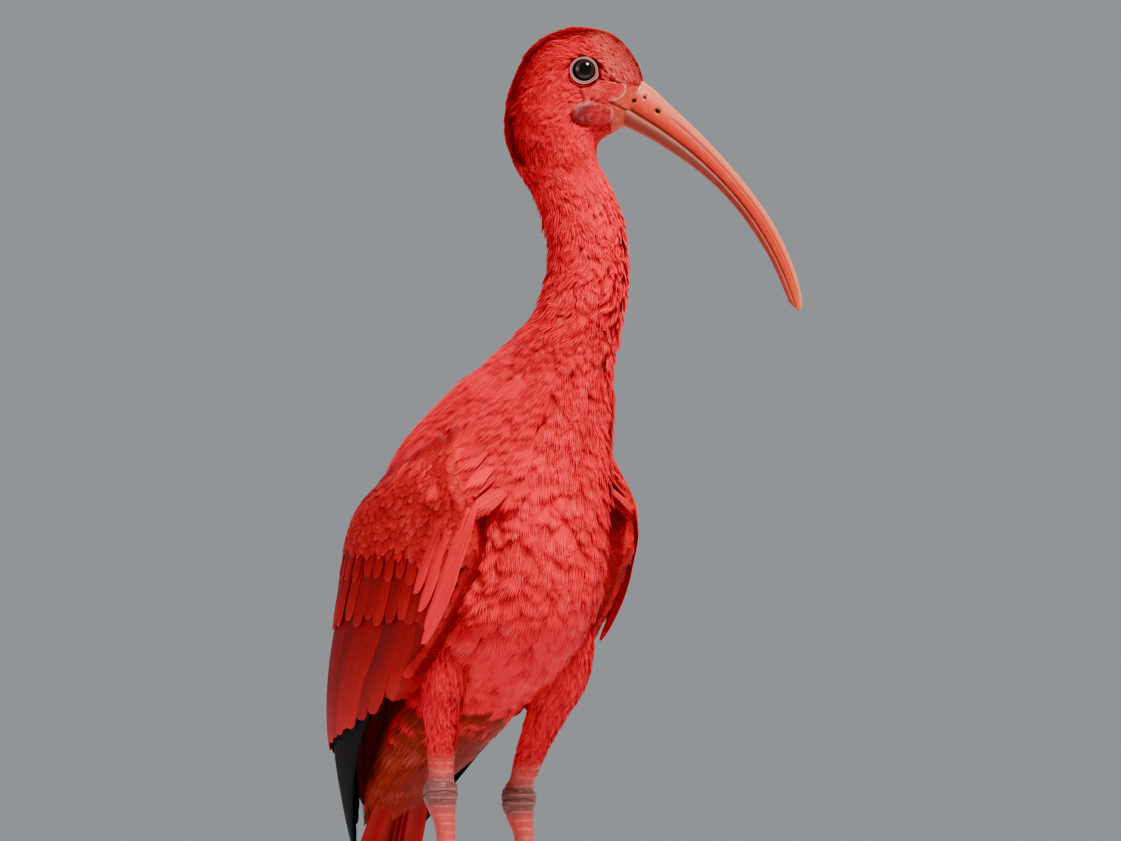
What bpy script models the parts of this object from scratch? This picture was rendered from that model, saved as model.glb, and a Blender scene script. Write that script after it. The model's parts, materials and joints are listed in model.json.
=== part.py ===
"""A life-size scarlet ibis standing upright, as separate solids in metres, +Z up.

The body faces -Y, its right side is -X, and the head is turned to the bird's left.
Sizes are given in millimetres and multiplied by MM. A place is written as
(left, ahead, up), where ahead is -Y, until it becomes a point of the model.
"""

import math

import bmesh
import bpy
from mathutils import Matrix, Vector

MM = 0.001
GAP = 0.3 * MM
UP = Vector((0.0, 0.0, 1.0))

# The head turns about an upright axis through the neck, this far ahead of the body's middle
NECK_AXIS_AHEAD = 12.0
HEAD_TURN = 44.0
EYE_AHEAD = 5.4
EYE_UP = 478.6
EYE_RADIUS = 7.4
EYE_DEPTH = 5.8
EYE_FROM_MIDDLE = 11.7
EYE_FACES_UP = 10.0
EYE_FACES_AHEAD = 8.0
LID_RING_RADIUS = 7.3
LID_THICKNESS = 1.25
LID_FROM_MIDDLE = 16.3

BILL_LENGTH = 142.0
BILL_DROOP_START = 34.6
BILL_DROOP_GAIN = 43.4
BILL_ROOT = (27.6, -19.6)

# Head, neck and body in one line from the root of the bill to the root of the tail.
# Each row is one cross-section: front point (ahead, up), back point (ahead, up),
# half the width, how much wider its back is than its front, and how far the section's
# plane is turned to the left in degrees. Ahead is measured from the neck's axis.
TRUNK = [
    (25.6, 447.2, 36.6, 471.2, 8.6, 0, 44),
    (20.6, 445.2, 31.9, 484.0, 12.0, 0, 44),
    (16.0, 443.2, 21.4, 495.8, 14.8, 0, 44),
    (13.0, 441.0, 7.4, 500.2, 16.8, 0, 44),
    (11.6, 438.5, -8.6, 499.0, 17.8, 0, 44),
    (11.2, 435.5, -23.6, 489.6, 18.4, 0, 44),
    (11.2, 432.5, -33.1, 472.6, 18.7, 0, 44),
    (11.8, 429.5, -36.8, 457.6, 18.7, 0, 43),
    (13.4, 425.6, -37.0, 444.0, 18.5, 0, 41),
    (16.4, 420.6, -33.6, 430.6, 18.2, 0, 38),
    (21.2, 411.0, -25.7, 417.5, 17.9, 0, 34),
    (26.4, 397.0, -18.6, 402.0, 17.9, 0, 28),
    (29.6, 380.0, -14.2, 383.0, 18.4, 0, 20),
    (30.8, 363.0, -16.0, 365.5, 19.6, 0, 12),
    (28.0, 347.5, -22.2, 351.5, 21.6, 0, 6),
    (22.6, 333.0, -35.0, 340.0, 25.2, 0, 2),
    (18.6, 318.0, -52.5, 329.0, 30.0, 0.04, 0),
    (14.6, 300.0, -72.5, 315.0, 35.0, 0.08, 0),
    (11.6, 280.0, -96.0, 298.0, 41.0, 0.12, 0),
    (11.2, 258.0, -119.0, 278.0, 47.0, 0.14, 0),
    (11.6, 235.0, -134.0, 255.0, 50.0, 0.15, 0),
    (9.6, 212.0, -136.0, 229.0, 49.0, 0.14, 0),
    (2.0, 190.0, -136.0, 205.0, 45.5, 0.10, 0),
    (-12.0, 171.0, -137.0, 182.0, 40.5, 0.06, 0),
    (-31.0, 155.0, -139.0, 162.0, 36.0, 0.03, 0),
    (-52.0, 142.0, -141.0, 145.0, 32.0, 0, 0),
    (-71.0, 130.5, -146.0, 130.0, 29.5, 0, 0),
    (-89.0, 119.0, -151.0, 117.0, 28.0, 0, 0),
    (-108.0, 107.0, -156.0, 104.0, 26.0, 0, 0),
    (-131.0, 95.0, -159.5, 91.0, 22.5, 0, 0),
    (-146.0, 83.0, -162.0, 79.0, 17.5, 0, 0),
    (-159.5, 72.5, -166.0, 70.0, 9.0, 0, 0),
]
# Rows of TRUNK where the head, the two lengths of neck and the body part
HEAD_END = 9.0
NECK_MIDDLE = 12.5
NECK_END = 16.0
TORSO_END = 27.0
COVERTS_END = len(TRUNK) - 1

# The shell that the folded wings lie on, from the shoulder to the wing tips
WING_SHELL = [
    (6.0, 292.0, -90.0, 308.0, 47.0, 0, 0),
    (8.0, 270.0, -104.0, 286.0, 58.0, 0, 0),
    (10.0, 246.0, -127.0, 261.0, 63.5, 0, 0),
    (6.0, 220.0, -141.0, 236.0, 65.0, 0, 0),
    (-2.0, 195.0, -150.0, 210.0, 65.0, 0, 0),
    (-18.0, 172.0, -157.0, 184.0, 63.5, 0, 0),
    (-38.0, 150.0, -164.0, 160.0, 60.5, 0, 0),
    (-62.0, 129.0, -169.5, 136.0, 54.5, 0, 0),
    (-86.0, 108.0, -173.0, 113.0, 46.0, 0, 0),
    (-107.0, 88.0, -174.5, 92.0, 36.5, 0, 0),
    (-125.0, 70.0, -175.0, 73.0, 27.5, 0, 0),
    (-142.0, 54.0, -175.5, 56.0, 18.5, 0, 0),
    (-157.0, 41.0, -176.0, 42.0, 10.0, 0, 0),
]

TOE_TOP = 9.3


def material(name, red, green, blue, roughness):
    made = bpy.data.materials.new(name)
    made.use_nodes = True
    shader = made.node_tree.nodes["Principled BSDF"]
    shader.inputs["Base Color"].default_value = (red, green, blue, 1.0)
    shader.inputs["Roughness"].default_value = roughness
    shader.inputs["Metallic"].default_value = 0.0
    made.diffuse_color = (red, green, blue, 1.0)
    return made


def blended(rows, place):
    """The row at a place between rows, on a smooth curve through them all."""
    last = len(rows) - 1
    place = min(max(place, 0.0), float(last))
    first = min(int(place), last - 1)
    share = place - first
    around = [rows[min(max(first + step, 0), last)] for step in (-1, 0, 1, 2)]
    values = []
    for before, start, end, after in zip(*around):
        leave = (end - before) / 2
        arrive = (after - start) / 2
        curve = 2 * (start - end) + leave + arrive
        bend = 3 * (end - start) - 2 * leave - arrive
        values.append(((curve * share + bend) * share + leave) * share + start)
    return values


class Form:
    """A long rounded body given by cross-sections. Angle 0 is its front, 90 its left, 180 its back."""

    def __init__(self, rows, squareness=2.0):
        self.rows = rows
        self.squareness = squareness

    def frame(self, place):
        """The middle of a section, the vectors from it to the back and to its left, and its egg shape."""
        front_ahead, front_up, back_ahead, back_up, half_width, egg, turn = blended(self.rows, place)
        turn = math.radians(turn)
        ahead = Vector((math.sin(turn), -math.cos(turn), 0.0))
        left = Vector((math.cos(turn), math.sin(turn), 0.0))
        axis = Vector((0.0, -NECK_AXIS_AHEAD, 0.0))
        front = axis + ahead * front_ahead + UP * front_up
        back = axis + ahead * back_ahead + UP * back_up
        return (front + back) / 2, (back - front) / 2, left * half_width, egg

    def point(self, place, angle, lift=0.0):
        """A point on the surface, or off it by lift in millimetres."""
        middle, to_back, to_left, egg = self.frame(place)
        deep, wide = -math.cos(math.radians(angle)), math.sin(math.radians(angle))
        reach = (abs(deep) ** self.squareness + abs(wide) ** self.squareness) ** (-1 / self.squareness)
        deep, wide = deep * reach, wide * reach
        outward = to_back * (deep * abs(deep) ** (self.squareness - 2) / to_back.length_squared)
        outward += to_left * (wide * abs(wide) ** (self.squareness - 2) / to_left.length_squared)
        on_it = middle + to_back * deep + to_left * (wide * (1 + egg * deep))
        return (on_it + outward.normalized() * lift) * MM

    def slopes(self, place, angle):
        """How the surface point moves with place and with angle, in millimetres."""
        step = 0.02
        here = self.point(place, angle)
        along = (self.point(place + step, angle) - here) / (step * MM)
        round_it = (self.point(place, angle + step) - here) / (step * MM)
        return along, round_it

    def beside(self, place, angle, across, offset):
        """The place and angle reached from a point by going offset millimetres across."""
        along, round_it = self.slopes(place, angle)
        a, b, c = along.dot(along), along.dot(round_it), round_it.dot(round_it)
        d, e = along.dot(across) * offset, round_it.dot(across) * offset
        scale = a * c - b * b
        return place + (d * c - b * e) / scale, angle + (a * e - b * d) / scale


def node(name, bm, finish):
    """A named object made from a bmesh, shaded smooth, with its faces pointing out."""
    bmesh.ops.recalc_face_normals(bm, faces=bm.faces)
    if bm.calc_volume(signed=True) < 0:
        bmesh.ops.reverse_faces(bm, faces=bm.faces)
    mesh = bpy.data.meshes.new(name)
    bm.to_mesh(mesh)
    bm.free()
    made = bpy.data.objects.new(name, mesh)
    bpy.context.scene.collection.objects.link(made)
    mesh.materials.append(finish)
    mesh.shade_smooth()
    return made


def tube(name, finish, surface, segments, rings):
    """A closed body from a sphere whose latitude runs along it, share 0 to 1, and longitude round it."""
    bm = bmesh.new()
    bmesh.ops.create_uvsphere(bm, u_segments=segments, v_segments=rings, radius=1.0)
    for vert in bm.verts:
        share = math.acos(max(-1.0, min(1.0, vert.co.z))) / math.pi
        round_it = math.degrees(math.atan2(vert.co.y, vert.co.x))
        vert.co = surface(share, round_it)
    return node(name, bm, finish)


def length_of_form(name, finish, form, start, end, segments, rings, start_gap, end_gap):
    """A length of a form between two places, with flat ends set back by the gaps."""

    def surface(share, angle):
        ring = share * rings
        if ring < 0.5 or ring > rings - 0.5:
            place = start if ring < 0.5 else end
            on_end = form.frame(place)[0] * MM
        else:
            place = start + (end - start) * (ring - 1) / (rings - 2)
            on_end = form.point(place, angle)
        if abs(place - start) < 1e-6:
            on_end += (form.frame(start + 0.05)[0] - form.frame(start)[0]).normalized() * start_gap
        if abs(place - end) < 1e-6:
            on_end += (form.frame(end - 0.05)[0] - form.frame(end)[0]).normalized() * end_gap
        return on_end

    return tube(name, finish, surface, segments, rings)


def limb(name, finish, rows, segments, rings, floor=None):
    """A tube with level ends along rows of (left, ahead, up, half width, half depth), above any floor given."""

    def surface(share, angle):
        place = min(max((share * rings - 1) / (rings - 2), 0.0), 1.0) * (len(rows) - 1)
        left, ahead, up, half_width, half_depth = blended(rows, place)
        before, after = blended(rows, place - 0.1), blended(rows, place + 0.1)
        run = Vector((after[0] - before[0], before[1] - after[1], after[2] - before[2])).normalized()
        from_end = min(place, len(rows) - 1 - place)
        run = run.lerp(-UP, max(0.0, 1 - from_end)).normalized()
        side = Vector((1.0, 0.0, 0.0))
        side = (side - run * side.dot(run)).normalized()
        deep = run.cross(side)
        taper = 0.0 if share * rings < 0.5 or share * rings > rings - 0.5 else 1.0
        turn = math.radians(angle)
        middle = Vector((left, -ahead, up))
        on_it = middle + (side * math.cos(turn) * half_width + deep * math.sin(turn) * half_depth) * taper
        if floor is not None:
            on_it.z = max(on_it.z, floor)
        return on_it * MM

    return tube(name, finish, surface, segments, rings)


def evaluated_copy(thing):
    """The object's mesh with its modifiers applied, as a bmesh."""
    graph = bpy.context.evaluated_depsgraph_get()
    bm = bmesh.new()
    bm.from_object(thing, graph)
    return bm


def grown(thing, by=GAP):
    """A helper copy of an object, larger by a gap on every side."""
    bm = evaluated_copy(thing)
    bm.normal_update()
    moved = {vert: vert.co + vert.normal * by * vert.calc_shell_factor() for vert in bm.verts}
    for vert, place in moved.items():
        vert.co = place
    return node(thing.name + "_grown", bm, thing.data.materials[0])


def largest_body(bm):
    """Deletes all but the largest closed surface of a bmesh."""
    left, bodies = set(bm.verts), []
    while left:
        reached, front = set(), [left.pop()]
        while front:
            vert = front.pop()
            reached.add(vert)
            for edge in vert.link_edges:
                other = edge.other_vert(vert)
                if other in left:
                    left.discard(other)
                    front.append(other)
        bodies.append(reached)
    bodies.sort(key=lambda verts: max(v.co.x for v in verts) - min(v.co.x for v in verts)
                + max(v.co.z for v in verts) - min(v.co.z for v in verts))
    for reached in bodies[:-1]:
        bmesh.ops.delete(bm, geom=list(reached), context="VERTS")


def combine(thing, others, operation, solver="EXACT"):
    """Joins objects to a node, or cuts them from it, and removes them."""
    group = bpy.data.collections.new(thing.name + "_others")
    bpy.context.scene.collection.children.link(group)
    for other in others:
        bpy.context.scene.collection.objects.unlink(other)
        group.objects.link(other)
    modifier = thing.modifiers.new(operation.lower(), "BOOLEAN")
    modifier.operation = operation
    modifier.operand_type = "COLLECTION"
    modifier.collection = group
    modifier.solver = solver
    bpy.context.view_layer.update()
    bm = evaluated_copy(thing)
    thing.modifiers.remove(modifier)
    largest_body(bm)
    bmesh.ops.triangulate(bm, faces=bm.faces)
    bm.to_mesh(thing.data)
    bm.free()
    for other in list(group.objects):
        bpy.data.objects.remove(other)
    bpy.data.collections.remove(group)
    return thing


def head_point(ahead, up, left=0.0):
    """A point given in the head's own plane from the eye, in millimetres."""
    turn = math.radians(HEAD_TURN)
    along = EYE_AHEAD + ahead
    flat = Vector((math.sin(turn), -math.cos(turn), 0.0)) * along
    flat += Vector((math.cos(turn), math.sin(turn), 0.0)) * left
    return (flat + Vector((0.0, -NECK_AXIS_AHEAD, EYE_UP + up))) * MM


def eye_matrix(side, out):
    """Axes of one eye: X ahead, Y up and Z the way it looks, which is out, a little up and ahead."""
    turn = math.radians(HEAD_TURN)
    ahead = Vector((math.sin(turn), -math.cos(turn), 0.0))
    left = Vector((math.cos(turn), math.sin(turn), 0.0))
    looks = left * side + UP * math.tan(math.radians(EYE_FACES_UP)) + ahead * math.tan(math.radians(EYE_FACES_AHEAD))
    looks.normalize()
    ahead = (ahead - looks * ahead.dot(looks)).normalized()
    axes = Matrix((ahead, looks.cross(ahead), looks)).transposed().to_4x4()
    return Matrix.Translation(head_point(0, 0, side * out)) @ axes


def eye(name, side, finish):
    """An eyeball as a flattened sphere, its clear front just proud of the lids."""
    bm = bmesh.new()
    bmesh.ops.create_uvsphere(bm, u_segments=18, v_segments=10, radius=1.0)
    size = Matrix.Diagonal((EYE_RADIUS * MM, EYE_RADIUS * MM, EYE_DEPTH * MM, 1.0))
    bm.transform(eye_matrix(side, EYE_FROM_MIDDLE) @ size)
    return node(name, bm, finish)


def lid_ring(side, finish):
    """The swollen rim of both lids round one eye."""
    bm = bmesh.new()
    section = bmesh.ops.create_circle(bm, segments=6, radius=LID_THICKNESS * MM)["verts"]
    bmesh.ops.rotate(bm, verts=section, cent=(0, 0, 0), matrix=Matrix.Rotation(math.radians(90), 3, "X"))
    bmesh.ops.translate(bm, verts=section, vec=(LID_RING_RADIUS * MM, 0, 0))
    bmesh.ops.spin(
        bm, geom=bm.verts[:] + bm.edges[:], cent=(0, 0, 0), axis=(0, 0, 1),
        angle=math.tau, steps=18, use_merge=True,
    )
    bmesh.ops.remove_doubles(bm, verts=bm.verts, dist=0.01 * MM)
    bm.transform(eye_matrix(side, LID_FROM_MIDDLE))
    return node("lid_ring", bm, finish)


def bill_line(share):
    """Middle of the bill in the head's plane, and its heading below the level in radians."""
    ahead, up = BILL_ROOT
    steps = 24
    for step in range(steps):
        at = (step + 0.5) / steps * share
        droop = math.radians(BILL_DROOP_START + BILL_DROOP_GAIN * max(at, 0.0) ** 1.5)
        ahead += math.cos(droop) * BILL_LENGTH * share / steps
        up -= math.sin(droop) * BILL_LENGTH * share / steps
    return ahead, up, math.radians(BILL_DROOP_START + BILL_DROOP_GAIN * max(share, 0.0) ** 1.5)


# Along the bill, as share of its length: half depth, half width, and how far the
# mouth line lies above the bill's middle
BILL_SIZES = [
    (12.6, 8.4, 0.8),
    (10.4, 6.9, 1.0),
    (8.8, 5.7, 0.2),
    (7.4, 4.9, -1.2),
    (6.4, 4.3, -2.0),
    (5.9, 4.0, -2.4),
    (5.6, 3.7, -2.6),
    (5.0, 3.3, -2.4),
    (4.3, 2.7, -1.6),
    (2.2, 1.4, -0.6),
]
BILL_SUNK_IN_HEAD = 0.07
BILL_RINGS = 22
NOSTRIL = (38.8, -22.0)
MOUTH_CORNER = (5.0, -17.6)


def mandible(name, finish, upper):
    """Half of the bill: a half-round section standing on, or hanging from, the mouth line."""

    def surface(share, angle):
        along = min(max((share * BILL_RINGS - 1) / (BILL_RINGS - 2), 0.0), 1.0)
        along = along * (1 + BILL_SUNK_IN_HEAD) - BILL_SUNK_IN_HEAD
        if not upper:
            along *= 0.985
        ahead, up, droop = bill_line(along)
        half_depth, half_width, line = blended(BILL_SIZES, along * (len(BILL_SIZES) - 1))
        turn = math.radians(angle)
        wide, tall = math.cos(turn), math.sin(turn)
        gape = GAP / MM / 2
        if upper:
            height = line + gape + max(tall, 0.0) * (half_depth - line - gape)
        else:
            height = line - gape - max(-tall, 0.0) * (half_depth + line - gape)
        flat = (tall < 0) == upper
        sideways = wide * half_width
        if flat:
            height += (0.25 if upper else -0.25) * (1 - abs(wide)) * min(half_width / 4, 1)
        if share < 1e-6 or share > 1 - 1e-6:
            sideways = 0.0
            height = (line + (half_depth if upper else -half_depth)) / 2
        return head_point(ahead + math.sin(droop) * height, up + math.cos(droop) * height, sideways)

    return tube(name, finish, surface, 12, BILL_RINGS)


def build_bill(finish):
    """Both halves of the bill, with a nostril on each side of the upper one."""
    upper, lower = mandible("bill_upper", finish, True), mandible("bill_lower", finish, False)
    nostrils = []
    for side in (1, -1):
        bm = bmesh.new()
        bmesh.ops.create_uvsphere(bm, u_segments=8, v_segments=6, radius=1.0)
        size = Matrix.Diagonal((2.6 * MM, 1.6 * MM, 0.8 * MM, 1.0))
        turn = Matrix.Rotation(math.radians(HEAD_TURN - 90), 4, "Z") @ Matrix.Rotation(math.radians(35), 4, "Y")
        bm.transform(Matrix.Translation(head_point(*NOSTRIL, side * 6.6)) @ turn @ size)
        nostrils.append(node("nostril", bm, finish))
    combine(upper, nostrils, "DIFFERENCE")
    return upper, lower


def build_head(finish, trunk, eyes, bill):
    """The head from the bill's root to the top of the neck, with lids, eye sockets and mouth."""
    head = length_of_form("head", finish, trunk, 0.0, HEAD_END, 24, 16, GAP / 2, GAP / 2)
    combine(head, [lid_ring(side, finish) for side in (1, -1)], "UNION")
    reach, droop = 24.0, math.radians(8)
    turn = Matrix.Rotation(math.radians(HEAD_TURN - 90), 4, "Z") @ Matrix.Rotation(droop, 4, "Y")
    mouth = []
    for side in (1, -1):
        bm = bmesh.new()
        bmesh.ops.create_cube(bm, size=1.0)
        middle = head_point(
            MOUTH_CORNER[0] + reach / 2, MOUTH_CORNER[1] - math.sin(droop) * reach / 2, side * (8.6 + 10)
        )
        toe_in = Matrix.Rotation(math.radians(-side * 14), 4, "Z")
        size = Matrix.Diagonal((reach * MM, 20 * MM, 0.6 * MM, 1.0))
        bm.transform(Matrix.Translation(middle) @ turn @ toe_in @ size)
        mouth.append(node("mouth", bm, finish))
    combine(head, [grown(piece) for piece in (*eyes, *bill)] + mouth, "DIFFERENCE")
    return head


def build_legs(finish_feather, finish_skin, torso):
    """Feathered thighs, bare shanks with their heel joints, and four-toed feet."""
    made = []
    thighs = {
        "left": [
            (30, -16, 190, 14, 19), (31.5, -26, 172, 14.5, 18), (31, -36, 155, 12.5, 15.5),
            (30, -46, 138, 10.2, 12), (29, -55, 122, 8.4, 9), (28.4, -62, 108, 7.2, 7.4),
            (28, -66, 98, 6.6, 6.9),
        ],
        "right": [
            (-30, -46, 190, 14, 19), (-33, -51, 174, 14.5, 18), (-33, -56, 158, 12.5, 15.5),
            (-31.5, -60, 142, 10.2, 12), (-29.8, -63, 127, 8.4, 9), (-28.6, -65, 114, 7.2, 7.4),
            (-28, -66, 103.6, 6.6, 6.9),
        ],
    }
    shanks = {
        "left": [
            (28, -66.2, 97.7, 6.6, 6.9), (27.8, -67.5, 93, 8.6, 9.2), (27.6, -67.6, 86.5, 9.2, 9.2),
            (27.5, -66, 79, 7.0, 7.4), (27.5, -63.6, 70, 5.0, 5.6), (27.5, -60.5, 48, 4.2, 4.9),
            (27.5, -57.6, 28, 4.3, 4.9), (27.5, -55.4, 15, 5.2, 5.6), (27.5, -54.6, TOE_TOP, 5.8, 6.2),
        ],
        "right": [
            (-28, -66.1, 103.3, 6.6, 6.9), (-27.8, -66.8, 98.5, 8.6, 9.2), (-27.6, -66.5, 92, 9.2, 9.2),
            (-27.5, -65, 84.5, 7.0, 7.4), (-27.5, -63, 75, 5.0, 5.6), (-27.5, -60.5, 52, 4.2, 4.9),
            (-27.5, -58.4, 30, 4.3, 4.9), (-27.5, -56.8, 16, 5.2, 5.6), (-27.5, -56.2, TOE_TOP, 5.8, 6.2),
        ],
    }
    for side in ("right", "left"):
        sign = 1 if side == "left" else -1
        thigh = limb("thigh_" + side, finish_feather, thighs[side], 18, 14)
        combine(thigh, [grown(torso)], "DIFFERENCE")
        shank = limb("shank_" + side, finish_skin, shanks[side], 12, 18)
        root = shanks[side][-1]
        foot = build_foot("foot_" + side, finish_skin, root[0], root[1], sign)
        made += [thigh, shank, foot]
    return made


# Each toe: heading from straight ahead in degrees (outward is positive), length and half width at its root
TOES = [(-2.0, 62.0, 4.3), (-34.0, 46.0, 3.9), (30.0, 50.0, 4.0), (172.0, 27.0, 3.6)]
CLAW_LENGTH = 9.0


def build_foot(name, finish, left, ahead, sign):
    """Toes and claws joined to one hub, all resting on flat pads at the floor."""
    hub_rows = [(left, ahead, TOE_TOP - GAP / MM, 5.8, 6.2), (left, ahead, 6.0, 6.6, 7.0), (left, ahead, 0.6, 6.0, 6.4)]
    foot = limb(name, finish, hub_rows, 12, 5, floor=0.0)
    toes = []
    for heading, length, half_width in TOES:
        turn = math.radians(heading * sign + 6.0 * sign)
        out, on = math.sin(turn), math.cos(turn)

        def toe_point(share, round_it):
            run = length * (share * 12 - 1) / 10 if 0 < share < 1 else length * share
            run = min(max(run, 0.0), length)
            joint = 0.10 * math.cos(run / length * 3.2 * math.tau)
            thin = 1.0 - 0.35 * run / length + joint
            claw = max(0.0, (run - (length - CLAW_LENGTH)) / CLAW_LENGTH)
            thin *= 1.0 - 0.78 * claw
            radius = half_width * thin
            if share <= 0.0 or share >= 1.0:
                radius = 0.0
            turned = math.radians(round_it + 22.5)
            middle = half_width * 0.82 * (1.0 - 0.30 * run / length) * (1.0 - 0.62 * claw)
            wide, tall = radius * math.cos(turned), radius * math.sin(turned)
            return Vector((
                left + out * run + on * wide,
                -ahead - on * run + out * wide,
                max(middle + tall, 0.0),
            )) * MM

        toes.append(tube("toe", finish, toe_point, 8, 12))
    return combine(foot, toes, "UNION")


def wing_edges(place):
    """Angles of the folded wing's front edge and of its edge near the back's midline."""
    rows = [
        (96, 122), (76, 138), (57, 155), (51, 168), (57, 175), (61, 177.5), (64, 178), (80, 178),
    ]
    return blended(rows, place)


def wing_thickness(place):
    """How deep the wing's solid part is, from the bones at the shoulder to the feather roots."""
    return blended([(16,), (20,), (21,), (21,), (20,), (18,), (14,), (9,)], place)[0]


def wing_surface(place):
    """How far the solid part steps down below the shell, to carry each tier of feathers in turn."""
    return blended([(0,), (0,), (0,), (1.0,), (1.2,), (3.4,), (3.6,), (4.2,)], place)[0]


WING_CORE_END = 6.4


def wing_core(name, sign, finish, shell):
    """The solid part of a folded wing: a shield over the side of the body."""
    bm = bmesh.new()
    bmesh.ops.create_grid(bm, x_segments=11, y_segments=8, size=1.0)
    bmesh.ops.triangulate(bm, faces=bm.faces)
    inner = bmesh.ops.extrude_face_region(bm, geom=bm.faces[:])["geom"]
    inner = {item for item in inner if isinstance(item, bmesh.types.BMVert)}
    for vert in bm.verts:
        share, across = (vert.co.x + 1) / 2, (vert.co.y + 1) / 2
        top = 0.85 + 1.9 * across * across
        place = top + share * (WING_CORE_END - top)
        front, back = wing_edges(place)
        angle = (front + (back - front) * across) * sign
        thickness = wing_thickness(place)
        rim = min(1.0, 5 * across, 5 * (1 - across), 6 * share + 0.15, 3 * (1 - share) + 0.2)
        drop = min(2.5, 0.5 * thickness) * (1 - rim) + wing_surface(place)
        drop += 6.0 * max(0.0, 1 - share / 0.2) ** 2
        vert.co = shell.point(place, angle, -thickness if vert in inner else -drop)
    return node(name, bm, finish)


VANE_THICKNESS = 0.8
VANE_STEP = 1.25
MIDLINE_CLEAR = 0.7


def vane(finish, form, sign, root, tip, half_width, lift, tip_lift, spacing, pointed, sunk, rows):
    """One feather vane lying along a form, from its root (place, angle) to its tip.

    It starts sunk in, rises to its lift, and is rolled so that the next vane on its
    back side clears it by a step. Both of its faces have the same triangles.
    """
    bm = bmesh.new()
    bmesh.ops.create_grid(bm, x_segments=rows, y_segments=2, size=1.0)
    bmesh.ops.triangulate(bm, faces=bm.faces)
    under = bmesh.ops.extrude_face_region(bm, geom=bm.faces[:])["geom"]
    under = {item for item in under if isinstance(item, bmesh.types.BMVert)}
    for vert in bm.verts:
        along, across = 1 - (1 - (vert.co.x + 1) / 2) ** 1.5, vert.co.y
        place = root[0] + (tip[0] - root[0]) * along
        angle = root[1] + (tip[1] - root[1]) * along
        wide = half_width * min(1.0, 0.6 + along)
        fade = max(0.0, (along - 0.6) / 0.4)
        wide *= (1 - 0.78 * fade**1.2) if pointed else (1 - 0.72 * fade**2.4)
        apart = spacing[0] + (spacing[1] - spacing[0]) * along
        raised = lift + (tip_lift - lift) * along - sunk * max(0.0, 1 - along / 0.22)
        raised -= across * wide * VANE_STEP / apart
        thick = VANE_THICKNESS * (1 - 0.35 * fade)
        raised += -thick / 2 if vert in under else thick / 2
        step = 0.01
        here = form.point(place, angle * sign)
        ahead = form.point(place + (tip[0] - root[0]) * step, (angle + (tip[1] - root[1]) * step) * sign) - here
        round_it = form.point(place, (angle + 0.1) * sign) - here
        normal = ahead.cross(round_it)
        side = normal.cross(ahead).normalized()
        place, turned = form.beside(place, angle * sign, side, across * wide)
        vert.co = form.point(place, turned, raised)
        vert.co.x = sign * max(sign * vert.co.x, MIDLINE_CLEAR * MM)
    return node("vane", bm, finish)


def tier(finish, form, sign, count, roots, tips, half_width, lift, tip_lift, spacing, pointed=False, sunk=2.4,
         rows=4):
    """A row of overlapping vanes, from the front edge of the wing to its back."""
    made = []
    for number in range(count):
        share = number / (count - 1)
        root, tip = blended(roots, share * (len(roots) - 1)), blended(tips, share * (len(tips) - 1))
        made.append(
            vane(finish, form, sign, root, tip, half_width, lift, tip_lift, spacing, pointed, sunk, rows)
        )
    return made


def build_wing(name, sign, finish, shell, cutters):
    """A folded wing: its solid part, tiers of coverts, secondaries and tertials, and the primaries."""
    wing = wing_core(name, sign, finish, shell)
    combine(wing, [grown(cutter) for cutter in cutters], "DIFFERENCE")
    feathers = tier(finish, shell, sign, 7, [(1.7, 84), (2.0, 110), (2.7, 140)],
                    [(2.9, 76), (3.2, 108), (3.7, 144)], 7.6, 1.9, 1.9, (9.5, 10), sunk=6.5, rows=3)
    feathers += tier(finish, shell, sign, 9, [(2.8, 76), (2.9, 112), (3.2, 157)],
                     [(4.2, 73), (4.4, 112), (4.7, 160)], 7.4, 0.9, 0.9, (10, 10), sunk=6.5, rows=3)
    feathers += tier(finish, shell, sign, 9, [(3.9, 72), (4.0, 112), (4.1, 154)],
                     [(6.25, 60), (7.1, 98), (7.6, 125), (8.0, 148)], 7.6, -1.6, -1.2, (10, 8.5))
    feathers += tier(finish, shell, sign, 2, [(4.0, 163), (4.1, 171)],
                     [(8.7, 157), (9.4, 169)], 7.4, -0.6, 0.4, (9, 6))
    feathers += tier(finish, shell, sign, 6, [(5.5, 84), (5.7, 118), (5.6, 150)],
                     [(11.2, 126), (11.9, 133), (11.2, 143), (10.4, 152), (9.6, 162)],
                     5.6, -5.4, -2.2, (7.4, 3.4), pointed=True)
    feathers += tier(finish, shell, sign, 2, [(2.5, 54), (2.5, 61)],
                     [(5.5, 54.5), (6.0, 58)], 5.4, 1.9, 1.9, (7.5, 5), pointed=True, sunk=6.0)
    return combine(wing, feathers, "UNION")


TAIL_ROOT = (0.0, -128.0, 118.0)
TAIL_LENGTH = 93.0
TAIL_SLOPE = 66.6


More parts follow.
